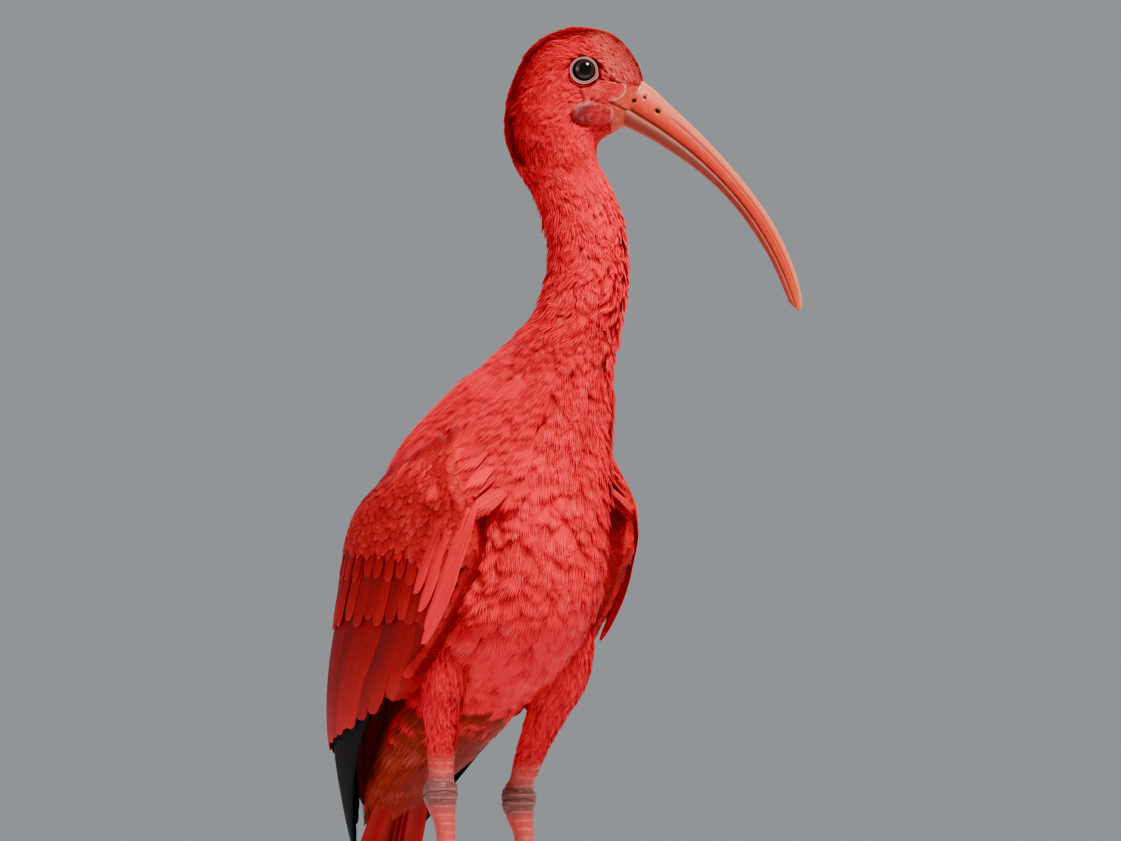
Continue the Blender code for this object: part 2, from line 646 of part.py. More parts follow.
def tail_vane(finish, number):
    """One tail feather: number is its place out from the middle, in halves, left positive."""
    down, back = math.sin(math.radians(TAIL_SLOPE)), math.cos(math.radians(TAIL_SLOPE))
    out = abs(number)
    bm = bmesh.new()
    bmesh.ops.create_grid(bm, x_segments=4, y_segments=2, size=1.0)
    bmesh.ops.triangulate(bm, faces=bm.faces)
    under = bmesh.ops.extrude_face_region(bm, geom=bm.faces[:])["geom"]
    under = {item for item in under if isinstance(item, bmesh.types.BMVert)}
    for vert in bm.verts:
        along, across = 1 - (1 - (vert.co.x + 1) / 2) ** 1.5, vert.co.y
        run = (TAIL_LENGTH - 1.4 * out + 24.0) * along - 24.0
        fade = max(0.0, (along - 0.6) / 0.4)
        wide = 6.6 * min(1.0, 0.55 + along) * (1 - 0.6 * fade**2.6)
        middle = number * (1.5 + 1.9 * along)
        sideways = middle + across * wide
        height = -out * 1.15 - abs(sideways) * 0.10 + (0.4 if number > 0 else 0.0)
        height += (-1 if vert in under else 1) * VANE_THICKNESS / 2 * (1 - 0.35 * fade)
        vert.co = Vector((
            sideways,
            -TAIL_ROOT[1] + back * run + down * height,
            TAIL_ROOT[2] - down * run + back * height,
        )) * MM
    return node("vane", bm, finish)


def build_tail(finish, trunk, torso):
    """The undertail coverts as one tapering solid, with the fan of tail feathers lying on its back."""
    tail = length_of_form("tail", finish, trunk, TORSO_END, COVERTS_END, 20, 9, GAP / 2, 0.0)
    feathers = [tail_vane(finish, step - 5.5) for step in range(12)]
    combine(tail, feathers, "UNION")
    return combine(tail, [grown(torso)], "DIFFERENCE")


def stand_on_origin():
    """Moves all nodes so that the model's box stands centred on the origin."""
    bpy.context.view_layer.update()
    made = [thing for thing in bpy.context.scene.objects if thing.type == "MESH"]
    corners = [vert.co for thing in made for vert in thing.data.vertices]
    low = Vector([min(corner[axis] for corner in corners) for axis in range(3)])
    high = Vector([max(corner[axis] for corner in corners) for axis in range(3)])
    shift = Matrix.Translation(((low.x + high.x) / -2, (low.y + high.y) / -2, -low.z))
    for thing in made:
        thing.data.transform(shift)


def main():
    for thing in list(bpy.data.objects):
        bpy.data.objects.remove(thing)
    scarlet = material("scarlet_feather", 0.72, 0.03, 0.03, 0.6)
    horn = material("salmon_bill", 0.78, 0.33, 0.25, 0.4)
    skin = material("pink_skin", 0.66, 0.24, 0.22, 0.5)
    eye_black = material("eye_black", 0.02, 0.01, 0.01, 0.1)

    trunk = Form(TRUNK)
    shell = Form(WING_SHELL, squareness=3.0)
    eyes = [eye("eye_left", 1, eye_black), eye("eye_right", -1, eye_black)]
    build_head(scarlet, trunk, eyes, build_bill(horn))
    length_of_form("neck_upper", scarlet, trunk, HEAD_END, NECK_MIDDLE, 24, 11, GAP / 2, GAP / 2)
    length_of_form("neck_lower", scarlet, trunk, NECK_MIDDLE, NECK_END, 24, 11, GAP / 2, GAP / 2)
    torso = length_of_form("torso", scarlet, trunk, NECK_END, TORSO_END, 24, 20, GAP / 2, GAP / 2)
    legs = build_legs(scarlet, skin, torso)
    tail = build_tail(scarlet, trunk, torso)
    thighs = [leg for leg in legs if leg.name.startswith("thigh")]
    for side, sign in (("left", 1), ("right", -1)):
        build_wing("wing_" + side, sign, scarlet, shell, [torso, tail] + thighs)
    stand_on_origin()


main()
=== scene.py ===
"""A scarlet ibis at life size: skin, plumage, bill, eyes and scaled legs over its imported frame."""

import json
import math

import bmesh
import bpy
import numpy as np
from mathutils import Matrix, Vector
from mathutils.bvhtree import BVHTree

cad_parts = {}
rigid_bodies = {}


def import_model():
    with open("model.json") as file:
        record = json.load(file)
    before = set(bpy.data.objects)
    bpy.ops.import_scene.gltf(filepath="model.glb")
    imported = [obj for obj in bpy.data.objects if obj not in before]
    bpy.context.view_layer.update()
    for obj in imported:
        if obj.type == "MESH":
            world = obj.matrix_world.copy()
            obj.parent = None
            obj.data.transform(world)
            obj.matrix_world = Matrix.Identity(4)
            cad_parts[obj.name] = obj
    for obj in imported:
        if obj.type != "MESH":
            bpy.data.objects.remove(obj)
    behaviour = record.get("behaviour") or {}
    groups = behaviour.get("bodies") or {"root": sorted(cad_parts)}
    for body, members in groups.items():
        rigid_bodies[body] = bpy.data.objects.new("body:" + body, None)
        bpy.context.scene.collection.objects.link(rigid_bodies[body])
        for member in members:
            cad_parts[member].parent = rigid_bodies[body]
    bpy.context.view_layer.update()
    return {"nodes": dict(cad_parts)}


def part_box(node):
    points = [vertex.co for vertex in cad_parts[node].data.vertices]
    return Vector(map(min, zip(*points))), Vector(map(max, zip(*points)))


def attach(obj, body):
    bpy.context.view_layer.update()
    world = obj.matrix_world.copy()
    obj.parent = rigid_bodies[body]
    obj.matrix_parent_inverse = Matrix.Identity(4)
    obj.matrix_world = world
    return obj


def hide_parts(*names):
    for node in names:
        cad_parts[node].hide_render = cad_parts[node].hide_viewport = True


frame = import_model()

# The frame's own box, and where the bird stands in it. The eyes tell which way the head
# faces, and the bird's own zero lies on the floor under its middle.
MM = 0.001
UP = Vector((0, 0, 1))
eye_places = {}
for side, sign in (("left", 1), ("right", -1)):
    low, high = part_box("eye_" + side)
    eye_places[sign] = (Vector(low) + Vector(high)) / 2
BETWEEN_EYES = (eye_places[1] + eye_places[-1]) / 2
HEAD_LEFT = (eye_places[1] - eye_places[-1]).normalized()
HEAD_AHEAD = HEAD_LEFT.cross(UP)
EYES_AHEAD_OF_NECK = 5.4
EYES_UP = 478.6
NECK_AXIS = Vector((0, -12, 0))
ORIGIN = BETWEEN_EYES - (HEAD_AHEAD * EYES_AHEAD_OF_NECK + NECK_AXIS + UP * EYES_UP) * MM

# The camera stands level, to the front right of the bird and far off, so the picture is as
# flat as a long lens makes it. One pixel of the photograph is 0.53 mm at the bird.
PHOTO_SIZE = (1121, 841)
PIXEL = 0.53 * MM
PHOTO_BOTTOM = 70 * MM
VIEW_FROM = math.radians(-40)
CAMERA_AWAY = 5.0
TO_CAMERA = Vector((math.sin(VIEW_FROM), -math.cos(VIEW_FROM), 0))
VIEW_RIGHT = UP.cross(TO_CAMERA)
camera = bpy.data.objects.new("camera", bpy.data.cameras.new("camera"))
bpy.context.scene.collection.objects.link(camera)
bpy.context.scene.camera = camera
camera.location = ORIGIN + UP * (PHOTO_BOTTOM + PHOTO_SIZE[1] / 2 * PIXEL) + TO_CAMERA * CAMERA_AWAY
camera.rotation_mode = "QUATERNION"
camera.rotation_quaternion = TO_CAMERA.to_track_quat("Z", "Y")
camera.data.sensor_width = 36
camera.data.lens = 36 * CAMERA_AWAY / (PHOTO_SIZE[0] * PIXEL)
camera.data.clip_end = 50

# The light is that of a studio: a broad lamp high on the right of the camera, a weaker one
# on its left, one behind for the rim, and a pale room all round.
def lamp(name, right, near, up, width, watts, warmth):
    made = bpy.data.objects.new(name, bpy.data.lights.new(name, "AREA"))
    made.data.shape = "DISK"
    made.data.size = width
    made.data.energy = watts
    made.data.color = warmth
    at = VIEW_RIGHT * right + TO_CAMERA * near + UP * up
    made.location = ORIGIN + UP * 0.28 + at
    made.rotation_mode = "QUATERNION"
    made.rotation_quaternion = at.to_track_quat("Z", "Y")
    bpy.context.scene.collection.objects.link(made)


lamp("key_lamp", 0.8, 1.4, 2.2, 0.6, 136, (1.0, 0.98, 0.95))
lamp("fill_lamp", -1.7, 1.3, 0.9, 1.2, 14, (0.95, 0.97, 1.0))
lamp("rim_lamp", -0.2, -1.2, 1.7, 0.8, 34, (1.0, 0.98, 0.95))
room = bpy.data.worlds.new("pale_room")
bpy.context.scene.world = room
room.use_nodes = True
room.node_tree.nodes["Background"].inputs["Color"].default_value = (0.80, 0.84, 0.88, 1)
room.node_tree.nodes["Background"].inputs["Strength"].default_value = 0.38


def linear(sheet_colour):
    """An sRGB hex colour as linear red, green, blue and alpha."""
    values = [int(sheet_colour[at:at + 2], 16) / 255 for at in (1, 3, 5)]
    return (*[v / 12.92 if v <= 0.04045 else ((v + 0.055) / 1.055) ** 2.4 for v in values], 1.0)


def add(finish, kind, inputs=None, stops=None, output=None, **settings):
    """Adds a node to a material and returns its first output, or the one named.

    Inputs, by name or number, are values or outputs. Stops are the places and colours of a ramp.
    """
    made = finish.node_tree.nodes.new("ShaderNode" + kind)
    for name, value in settings.items():
        setattr(made, name, value)
    for name, value in (inputs or {}).items():
        named = [socket for socket in made.inputs if socket.enabled and name in (socket.name, socket.identifier)]
        socket = made.inputs[name] if isinstance(name, int) else named[0]
        if isinstance(value, bpy.types.NodeSocket):
            finish.node_tree.links.new(value, socket)
        else:
            socket.default_value = value
    for number, (at, colour) in enumerate(stops or ()):
        stop = made.color_ramp.elements[number] if number < 2 else made.color_ramp.elements.new(at)
        stop.position = at
        stop.color = linear(colour)
    return next(socket for socket in made.outputs if socket.enabled and output in (None, socket.name))


def finish_named(name, roughness, **constants):
    """A new material and its shader, with what is the same all over it set on the shader."""
    made = bpy.data.materials.new(name)
    made.use_nodes = True
    shader = made.node_tree.nodes["Principled BSDF"]
    shader.inputs["Roughness"].default_value = roughness
    for socket, value in constants.items():
        shader.inputs[socket.replace("_", " ")].default_value = value
    return made, shader.inputs


def join_up(finish, socket, target):
    finish.node_tree.links.new(socket, target)


# The floor is a round sheet of matt painted board, a little speckled, that ends below the
# picture's lower edge.
FLOOR_RADIUS = 1.15
bm = bmesh.new()
bmesh.ops.create_circle(bm, cap_ends=True, segments=96, radius=FLOOR_RADIUS)
floor_mesh = bpy.data.meshes.new("floor")
bm.to_mesh(floor_mesh)
bm.free()
floor = bpy.data.objects.new("floor", floor_mesh)
bpy.context.scene.collection.objects.link(floor)
painted, sockets = finish_named("matt_painted_board", 0.8)
where = add(painted, "TexCoord", output="Object")
speckle = add(painted, "TexNoise", {"Vector": where, "Scale": 180.0, "Detail": 4.0})
shade = add(painted, "ValToRGB", {"Fac": speckle}, [(0.3, "#D3D5D6"), (0.7, "#DADCDD")])
join_up(painted, shade, sockets["Base Color"])
floor_mesh.materials.append(painted)


# The bird's head, neck and body are one line of cross-sections from the bill's root to the
# tail's. Each row has a front point and a back point (ahead of the neck's axis, up), half
# the width, how much wider its back is, and how far it is turned to the left, in degrees.
TRUNK = [
    (25.6, 447.2, 36.6, 471.2, 8.6, 0, 44),
    (20.6, 445.2, 31.9, 484.0, 12.0, 0, 44),
    (16.0, 443.2, 21.4, 495.8, 14.8, 0, 44),
    (13.0, 441.0, 7.4, 500.2, 16.8, 0, 44),
    (11.6, 438.5, -8.6, 499.0, 17.8, 0, 44),
    (11.2, 435.5, -23.6, 489.6, 18.4, 0, 44),
    (11.2, 432.5, -33.1, 472.6, 18.7, 0, 44),
    (11.8, 429.5, -36.8, 457.6, 18.7, 0, 43),
    (13.4, 425.6, -37.0, 444.0, 18.5, 0, 41),
    (16.4, 420.6, -33.6, 430.6, 18.2, 0, 38),
    (21.2, 411.0, -25.7, 417.5, 17.9, 0, 34),
    (26.4, 397.0, -18.6, 402.0, 17.9, 0, 28),
    (29.6, 380.0, -14.2, 383.0, 18.4, 0, 20),
    (30.8, 363.0, -16.0, 365.5, 19.6, 0, 12),
    (28.0, 347.5, -22.2, 351.5, 21.6, 0, 6),
    (22.6, 333.0, -35.0, 340.0, 25.2, 0, 2),
    (18.6, 318.0, -52.5, 329.0, 30.0, 0.04, 0),
    (14.6, 300.0, -72.5, 315.0, 35.0, 0.08, 0),
    (11.6, 280.0, -96.0, 298.0, 41.0, 0.12, 0),
    (11.2, 258.0, -119.0, 278.0, 47.0, 0.14, 0),
    (11.6, 235.0, -134.0, 255.0, 50.0, 0.15, 0),
    (9.6, 212.0, -136.0, 229.0, 49.0, 0.14, 0),
    (2.0, 190.0, -136.0, 205.0, 45.5, 0.10, 0),
    (-12.0, 171.0, -137.0, 182.0, 40.5, 0.06, 0),
    (-31.0, 155.0, -139.0, 162.0, 36.0, 0.03, 0),
    (-52.0, 142.0, -141.0, 145.0, 32.0, 0, 0),
    (-71.0, 130.5, -146.0, 130.0, 29.5, 0, 0),
    (-89.0, 119.0, -151.0, 117.0, 28.0, 0, 0),
    (-108.0, 107.0, -156.0, 104.0, 26.0, 0, 0),
    (-131.0, 95.0, -159.5, 91.0, 22.5, 0, 0),
    (-146.0, 83.0, -162.0, 79.0, 17.5, 0, 0),
    (-159.5, 72.5, -166.0, 70.0, 9.0, 0, 0),
]
HEAD_END = 9.0
NECK_END = 16.0


def dot(one, other):
    return (one * other).sum(-1)


class Form:
    """A long rounded body made of cross-sections. Angle 0 is its front, 90 its left, 180 its back."""

    def __init__(self, rows, squareness=2.0):
        self.rows = np.array(rows, float)
        self.last = len(rows) - 1
        self.squareness = squareness

    def row(self, place):
        """The sizes at each place, on a smooth curve through the rows."""
        place = np.clip(place, 0.0, self.last)
        first = np.minimum(place.astype(int), self.last - 1)
        share = (place - first)[..., None]
        before, start, end, after = (self.rows[np.clip(first + step, 0, self.last)] for step in (-1, 0, 1, 2))
        leave, arrive = (end - before) / 2, (after - start) / 2
        curve = 2 * (start - end) + leave + arrive
        bend = 3 * (end - start) - 2 * leave - arrive
        return ((curve * share + bend) * share + leave) * share + start

    def section(self, place):
        """The middle of each section, the vectors to its back and its left, and its egg shape."""
        front_ahead, front_up, back_ahead, back_up, half_width, egg, turn = np.moveaxis(self.row(place), -1, 0)
        turn = np.radians(turn)
        ahead = np.stack([np.sin(turn), -np.cos(turn), 0 * turn], -1)
        left = np.stack([np.cos(turn), np.sin(turn), 0 * turn], -1)
        front = np.array(NECK_AXIS) + ahead * front_ahead[..., None] + np.array(UP) * front_up[..., None]
        back = np.array(NECK_AXIS) + ahead * back_ahead[..., None] + np.array(UP) * back_up[..., None]
        return (front + back) / 2, (back - front) / 2, left * half_width[..., None], egg

    def point(self, place, angle, lift=0.0):
        """Points on the surface, in metres, or off it by lift in millimetres."""
        place, angle, lift = np.broadcast_arrays(np.asarray(place, float), angle, lift)
        middle, to_back, to_left, egg = self.section(place)
        angle = np.radians(angle)
        deep, wide, power = -np.cos(angle), np.sin(angle), self.squareness
        reach = (np.abs(deep) ** power + np.abs(wide) ** power) ** (-1 / power)
        deep, wide = deep * reach, wide * reach
        outward = to_back * (deep * np.abs(deep) ** (power - 2) / dot(to_back, to_back))[..., None]
        outward = outward + to_left * (wide * np.abs(wide) ** (power - 2) / dot(to_left, to_left))[..., None]
        outward /= np.linalg.norm(outward, axis=-1, keepdims=True)
        on_it = middle + to_back * deep[..., None] + to_left * (wide * (1 + egg * deep))[..., None]
        return (on_it + outward * lift[..., None]) * MM + np.array(ORIGIN)

    def slopes(self, place, angle):
        """How the surface point moves, in millimetres, with a unit of place and a degree of angle."""
        place = np.clip(place, 0.0, self.last - 0.02)
        here = self.point(place, angle)
        along = (self.point(place + 0.01, angle) - here) / (0.01 * MM)
        round_it = (self.point(place, angle + 0.1) - here) / (0.1 * MM)
        return along, round_it

    def moved(self, place, angle, heading, distance, slopes=None):
        """The place and angle reached by going a distance in millimetres along a heading, a unit vector."""
        along, round_it = slopes or self.slopes(place, angle)
        a, b, c = dot(along, along), dot(along, round_it), dot(round_it, round_it)
        d, e = dot(along, heading) * distance, dot(round_it, heading) * distance
        scale = np.maximum(a * c - b * b, 1e-9)
        return place + (d * c - b * e) / scale, angle + (a * e - b * d) / scale


class Limb(Form):
    """A form whose rows are (left, ahead, up, half width, half depth), with level ends."""

    def section(self, place):
        left, ahead, up, half_width, half_depth = np.moveaxis(self.row(place), -1, 0)
        before, after = self.row(place - 0.1), self.row(place + 0.1)
        run = np.stack([(after - before)[..., 0], (before - after)[..., 1], (after - before)[..., 2]], -1)
        run /= np.linalg.norm(run, axis=-1, keepdims=True)
        side = np.array([1.0, 0.0, 0.0]) - run * run[..., :1]
        side /= np.linalg.norm(side, axis=-1, keepdims=True)
        deep = np.cross(side, run)
        middle = np.stack([left, -ahead, up], -1)
        return middle, deep * half_depth[..., None], side * half_width[..., None], 0 * left


def tube(surface, segments, rings):
    """A closed body from a sphere: surface takes the shares along it and the angles round it."""
    bm = bmesh.new()
    bmesh.ops.create_uvsphere(bm, u_segments=segments, v_segments=rings, radius=1.0)
    ball = np.array([vert.co for vert in bm.verts])
    share = np.arccos(ball[:, 2].clip(-1, 1)) / np.pi
    places = surface(share, np.degrees(np.arctan2(ball[:, 1], ball[:, 0])))
    for vert, place in zip(bm.verts, places):
        vert.co = place
    bmesh.ops.recalc_face_normals(bm, faces=bm.faces)
    if bm.calc_volume(signed=True) < 0:
        bmesh.ops.reverse_faces(bm, faces=bm.faces)
    return bm


def made_of(name, bm, finish):
    """An object from a bmesh, smooth, with one finish."""
    mesh = bpy.data.meshes.new(name)
    bm.to_mesh(mesh)
    bm.free()
    mesh.shade_smooth()
    mesh.materials.append(finish)
    made = bpy.data.objects.new(name, mesh)
    bpy.context.scene.collection.objects.link(made)
    return made


def fixed(made, slot, *nodes):
    """Says that a piece belongs to the bird and hides the nodes it stands for. The slot is not used."""
    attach(made, "root")
    if nodes:
        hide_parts(*nodes)
    return made


def combined(thing, others, operation, solver="EXACT"):
    """A body joined with others, or cut by them, as one applied Boolean."""
    group = bpy.data.collections.new("others")
    bpy.context.scene.collection.children.link(group)
    for other in others:
        bpy.context.scene.collection.objects.unlink(other)
        group.objects.link(other)
    step = thing.modifiers.new(operation.lower(), "BOOLEAN")
    step.operation = operation
    step.operand_type = "COLLECTION"
    step.collection = group
    step.solver = solver
    bpy.context.view_layer.update()
    bm = bmesh.new()
    bm.from_object(thing, bpy.context.evaluated_depsgraph_get())
    thing.modifiers.remove(step)
    bm.to_mesh(thing.data)
    bm.free()
    for other in list(group.objects):
        bpy.data.objects.remove(other)
    bpy.data.collections.remove(group)
    thing.data.shade_smooth()
    return thing


# The skin of the whole bird is one body: head, neck and trunk under the coat, and the bare
# face and legs. It lies under the feathers by the coat's depth. The face has eye sockets,
# a fold round the bare lores, the mouth's corner and a ridged pouch of skin below it.
COAT_DEPTHS = [(0, 0.2), (2, 0.5), (5, 0.9), (9, 1.3), (13, 1.8), (17, 2.6), (20, 3.4), (27, 3.2), (31, 2.4)]
LORE_FOLD = [(20.0, -6.5), (22.6, -9.5), (22.4, -13.0), (19.0, -16.2), (14.0, -17.4)]
MOUTH_LINE = [(5.0, -16.8), (10.0, -18.0), (14.5, -17.8), (21.0, -21.2), (27.0, -24.6)]
CHIN_FOLD = [(14.0, -19.5), (15.6, -22.5), (15.2, -26.0), (13.0, -29.5)]
BROW_EDGES = ((6.5, 9.5, 14.0, 20.0), (4.2, 0.6, -2.8, -6.0), (-2.6, -4.6, -6.0, -6.8))
EYE_SHIFT = (0.9, -1.1)
MOUTH_PALE = [(-4.5, -20.6), (-1.0, -19.0), (3.5, -17.8)]
POUCH = (4.9, -23.9, 10.6, 6.2)
HORN_EDGE = [
    (-30, 13.5), (-26, 15.5), (-22, 15.8), (-17.4, 15.5), (-16, 19.5), (-13, 22.6), (-10.2, 22.8), (-9.2, 25.0),
    (-8.4, 30.0), (-7.4, 60.0),
]


def coat_depth(place):
    return np.interp(place, *zip(*COAT_DEPTHS))


def eased(share):
    """Goes smoothly from 0 to 1 as share does, and stays there."""
    share = np.clip(share, 0.0, 1.0)
    return share * share * (3 - 2 * share)


def in_head(points):
    """Row-frame points as millimetres ahead of the eyes, above them and out from the middle."""
    away = (points - np.array(BETWEEN_EYES)) / MM
    return away @ np.array(HEAD_AHEAD), away[..., 2], np.abs(away @ np.array(HEAD_LEFT))


def from_line(ahead, up, line):
    """Distance in millimetres from a bent line in the head's side view."""
    nearest = np.full(ahead.shape, 1e9)
    for (ahead_1, up_1), (ahead_2, up_2) in zip(line, line[1:]):
        run = np.array([ahead_2 - ahead_1, up_2 - up_1])
        share = ((ahead - ahead_1) * run[0] + (up - up_1) * run[1]) / (run @ run)
        share = share.clip(0, 1)
        nearest = np.minimum(nearest, np.hypot(ahead - ahead_1 - run[0] * share, up - up_1 - run[1] * share))
    return nearest


def in_pouch(ahead, up):
    """From 1 at the middle of the mouth's pouch to 0 at its edge."""
    return np.clip(1 - np.abs((ahead - POUCH[0]) / POUCH[2]) ** 2.6 - np.abs((up - POUCH[1]) / POUCH[3]) ** 2.6, 0, 1)


def in_brow(ahead, up):
    """From 1 in the smooth red wedge between the eye's front corner and the bill to 0 outside it."""
    upper, lower = (np.interp(ahead, BROW_EDGES[0], edge) for edge in BROW_EDGES[1:])
    return eased((upper - up) / 0.8) * eased((up - lower) / 0.8) * eased((ahead - 6) / 1.5) * eased((20.5 - ahead) / 2)


def horn_share(ahead, up):
    """From 0 on the soft face to 1 where it hardens into the bill's horn."""
    return eased((ahead - np.interp(up, *zip(*HORN_EDGE))) / 1.4)


def bareness(ahead, up):
    """How bare the face is: 1 on the lores and pouch and round the eye, 0 under feathers."""
    lores = eased((ahead + 1.5 + 0.25 * (up + 12)) / 3) * eased((-4.6 - 0.10 * ahead - up) / 2) * eased((up + 20) / 2)
    below = eased((ahead - 13) / 3) * eased((-16 - up) / 2)
    ring = eased((9.0 - np.hypot(ahead - EYE_SHIFT[0], up - EYE_SHIFT[1])) / 1.0)
    parts = [lores, in_brow(ahead, up), horn_share(ahead, up), below, ring, eased(in_pouch(ahead, up) * 5)]
    return np.maximum.reduce(parts) * eased((up + 36) / 4)


def face_relief(place, angle, points):
    """How far the face stands out from the plain form, in millimetres."""
    ahead, up, out = in_head(points)
    sideways = eased((out - 5) / 4)
    from_eye = np.hypot(ahead - EYE_SHIFT[0], up - EYE_SHIFT[1])
    relief = -4.6 * eased((10.0 - from_eye) / 3.4)
    edges = [list(zip(BROW_EDGES[0], edge)) for edge in BROW_EDGES[1:]]
    relief += 0.9 * in_brow(ahead, up) - 0.7 * eased(1 - from_line(ahead, up, edges[0]) / 1.3)
    relief -= 1.1 * eased(1 - from_line(ahead, up, edges[1]) / 1.5)
    relief += 0.5 * eased(1 - from_line(ahead, up, LORE_FOLD) / 1.1)
    relief -= 0.9 * eased(1 - from_line(ahead, up, MOUTH_LINE) / 0.9)
    relief += 0.5 * eased(1 - from_line(ahead, up, CHIN_FOLD) / 1.0)
    pouch = eased(in_pouch(ahead, up) * 1.6)
    relief += 1.5 * pouch
    return relief * sideways * eased((HEAD_END - 1 - place) / 2)


trunk = Form(TRUNK)
HEAD_RINGS, BODY_RINGS = 210, 110


def skin_of_trunk(share, angle):
    ring = share * (HEAD_RINGS + BODY_RINGS)
    last = HEAD_RINGS + BODY_RINGS - 1
    place = np.interp(ring, [1, HEAD_RINGS, last], [0.0, HEAD_END, trunk.last - 0.4])
    flat = trunk.point(place, angle)
    lift = face_relief(place, angle, flat) - coat_depth(place) * (1 - 0.8 * bareness(*in_head(flat)[:2]))
    lift = lift - 0.9 * eased((1.0 - place) / 1.0)
    points = trunk.point(place, angle, lift)
    ends = (ring < 0.5) | (ring > last + 0.5)
    points[ends] = (trunk.section(place)[0] * MM + np.array(ORIGIN))[ends]
    return points


LEGS = {
    1: Limb([
        (27, -20, 190, 8, 12), (30, -28, 172, 12, 15.5), (31, -36, 155, 12.3, 15.3),
        (30, -46, 138, 10.2, 12), (29, -55, 122, 8.4, 9), (28.4, -62, 108, 7.2, 7.4),
        (28, -66, 98, 6.6, 6.9), (27.8, -67.5, 93, 8.6, 9.2), (27.6, -67.6, 86.5, 9.2, 9.2),
        (27.5, -66, 79, 7.0, 7.4), (27.5, -63.6, 70, 5.0, 5.6), (27.5, -60.5, 48, 4.2, 4.9),
        (27.5, -57.6, 28, 4.3, 4.9), (27.5, -55.4, 15, 5.2, 5.6), (27.5, -54.6, 6.0, 5.8, 6.2),
    ]),
    -1: Limb([
        (-27, -48, 190, 8, 12), (-31.5, -52, 174, 12, 15.5), (-33, -56, 158, 12.3, 15.3),
        (-31.5, -60, 142, 10.2, 12), (-29.8, -63, 127, 8.4, 9), (-28.6, -65, 114, 7.2, 7.4),
        (-28, -66, 103.6, 6.6, 6.9), (-27.8, -66.8, 98.5, 8.6, 9.2), (-27.6, -66.5, 92, 9.2, 9.2),
        (-27.5, -65, 84.5, 7.0, 7.4), (-27.5, -63, 75, 5.0, 5.6), (-27.5, -60.5, 52, 4.2, 4.9),
        (-27.5, -58.4, 30, 4.3, 4.9), (-27.5, -56.8, 16, 5.2, 5.6), (-27.5, -56.2, 6.0, 5.8, 6.2),
    ]),
}
BARE_LEG = 5.0
HEEL = 7.6
SCUTE_HEIGHT = 4.6
THIGH_RINGS, SHANK_RINGS = 36, 190


def height_on(limb, place):
    return limb.row(np.asarray(place, float))[..., 2]


def leg_relief(limb, place, angle):
    """The shank's plates and the heel's wrinkles, in millimetres out from the plain leg."""
    up = height_on(limb, place)
    heel_up = float(height_on(limb, HEEL))
    front = eased((62 - np.abs(angle)) / 16)
    plate = (up / SCUTE_HEIGHT) % 1.0
    shank = eased((heel_up - 12 - up) / 6) * eased((up - 6) / 5)
    scutes = front * shank * (0.42 * (1 - (2 * plate - 1) ** 6) - 0.16 * plate)
    tile = np.sin(angle * math.tau / 24 + (np.floor(up / 2.4) % 2) * math.pi) * np.sin(up * math.tau / 2.4)
    scutes += (1 - front) * shank * 0.10 * tile
    near_heel = eased(1 - np.abs(up - heel_up) / 13)
    bent = up - heel_up + 0.8 * np.sin(np.radians(angle) * 2) + 0.4 * np.sin(np.radians(angle) * 5)
    knuckles = 1 - np.abs(np.sin(bent * math.pi / 6.2)) ** 0.6
    fold = np.sin(bent * math.tau / 2.1)
    scutes += near_heel * (0.14 * fold + 0.3 - 1.3 * knuckles ** 2)
    tibia = eased((up - heel_up - 6) / 5) * eased((BARE_LEG + 0.4 - place) / -0.6)
    scutes += tibia * front * 0.25 * (1 - ((2 * (up / 3.4 % 1.0)) - 1) ** 4)
    return scutes


def skin_of_leg(limb):
    def surface(share, angle):
        ring = share * (THIGH_RINGS + SHANK_RINGS)
        last = THIGH_RINGS + SHANK_RINGS - 1
        place = np.interp(ring, [1, THIGH_RINGS, last], [0.0, BARE_LEG - 0.5, limb.last])
        depth = 1.3 * eased((BARE_LEG - place) / 1.2)
        points = limb.point(place, angle, leg_relief(limb, place, angle) - depth)
        ends = (ring < 0.5) | (ring > last + 0.5)
        points[ends] = (limb.section(place)[0] * MM + np.array(ORIGIN))[ends]
        return points
    return surface


# Each foot has three toes ahead and one behind, with plates across their upper side and soft
# pads underneath, flat where they rest on the floor. The claws are dark horn.
TOES = [(-2.0, 62.0, 4.3), (-34.0, 46.0, 3.9), (30.0, 50.0, 4.0), (172.0, 27.0, 3.6)]
CLAW_LENGTH = 9.0
TOE_TURN_OUT = 6.0
TOE_PLATE = 3.1
TOE_JOINTS = 3.2


def toe_sizes(run, length, half_width):
    """Half the toe's width and the height of its middle, at distances from its root."""
    run = np.asarray(run, float)
    thin = 1.0 - 0.35 * run / length + 0.10 * np.cos(run / length * TOE_JOINTS * math.tau)
    claw = np.clip((run - (length - CLAW_LENGTH)) / CLAW_LENGTH, 0, 1)
    middle = half_width * 0.82 * (1 - 0.30 * run / length)
    return half_width * thin, middle, claw


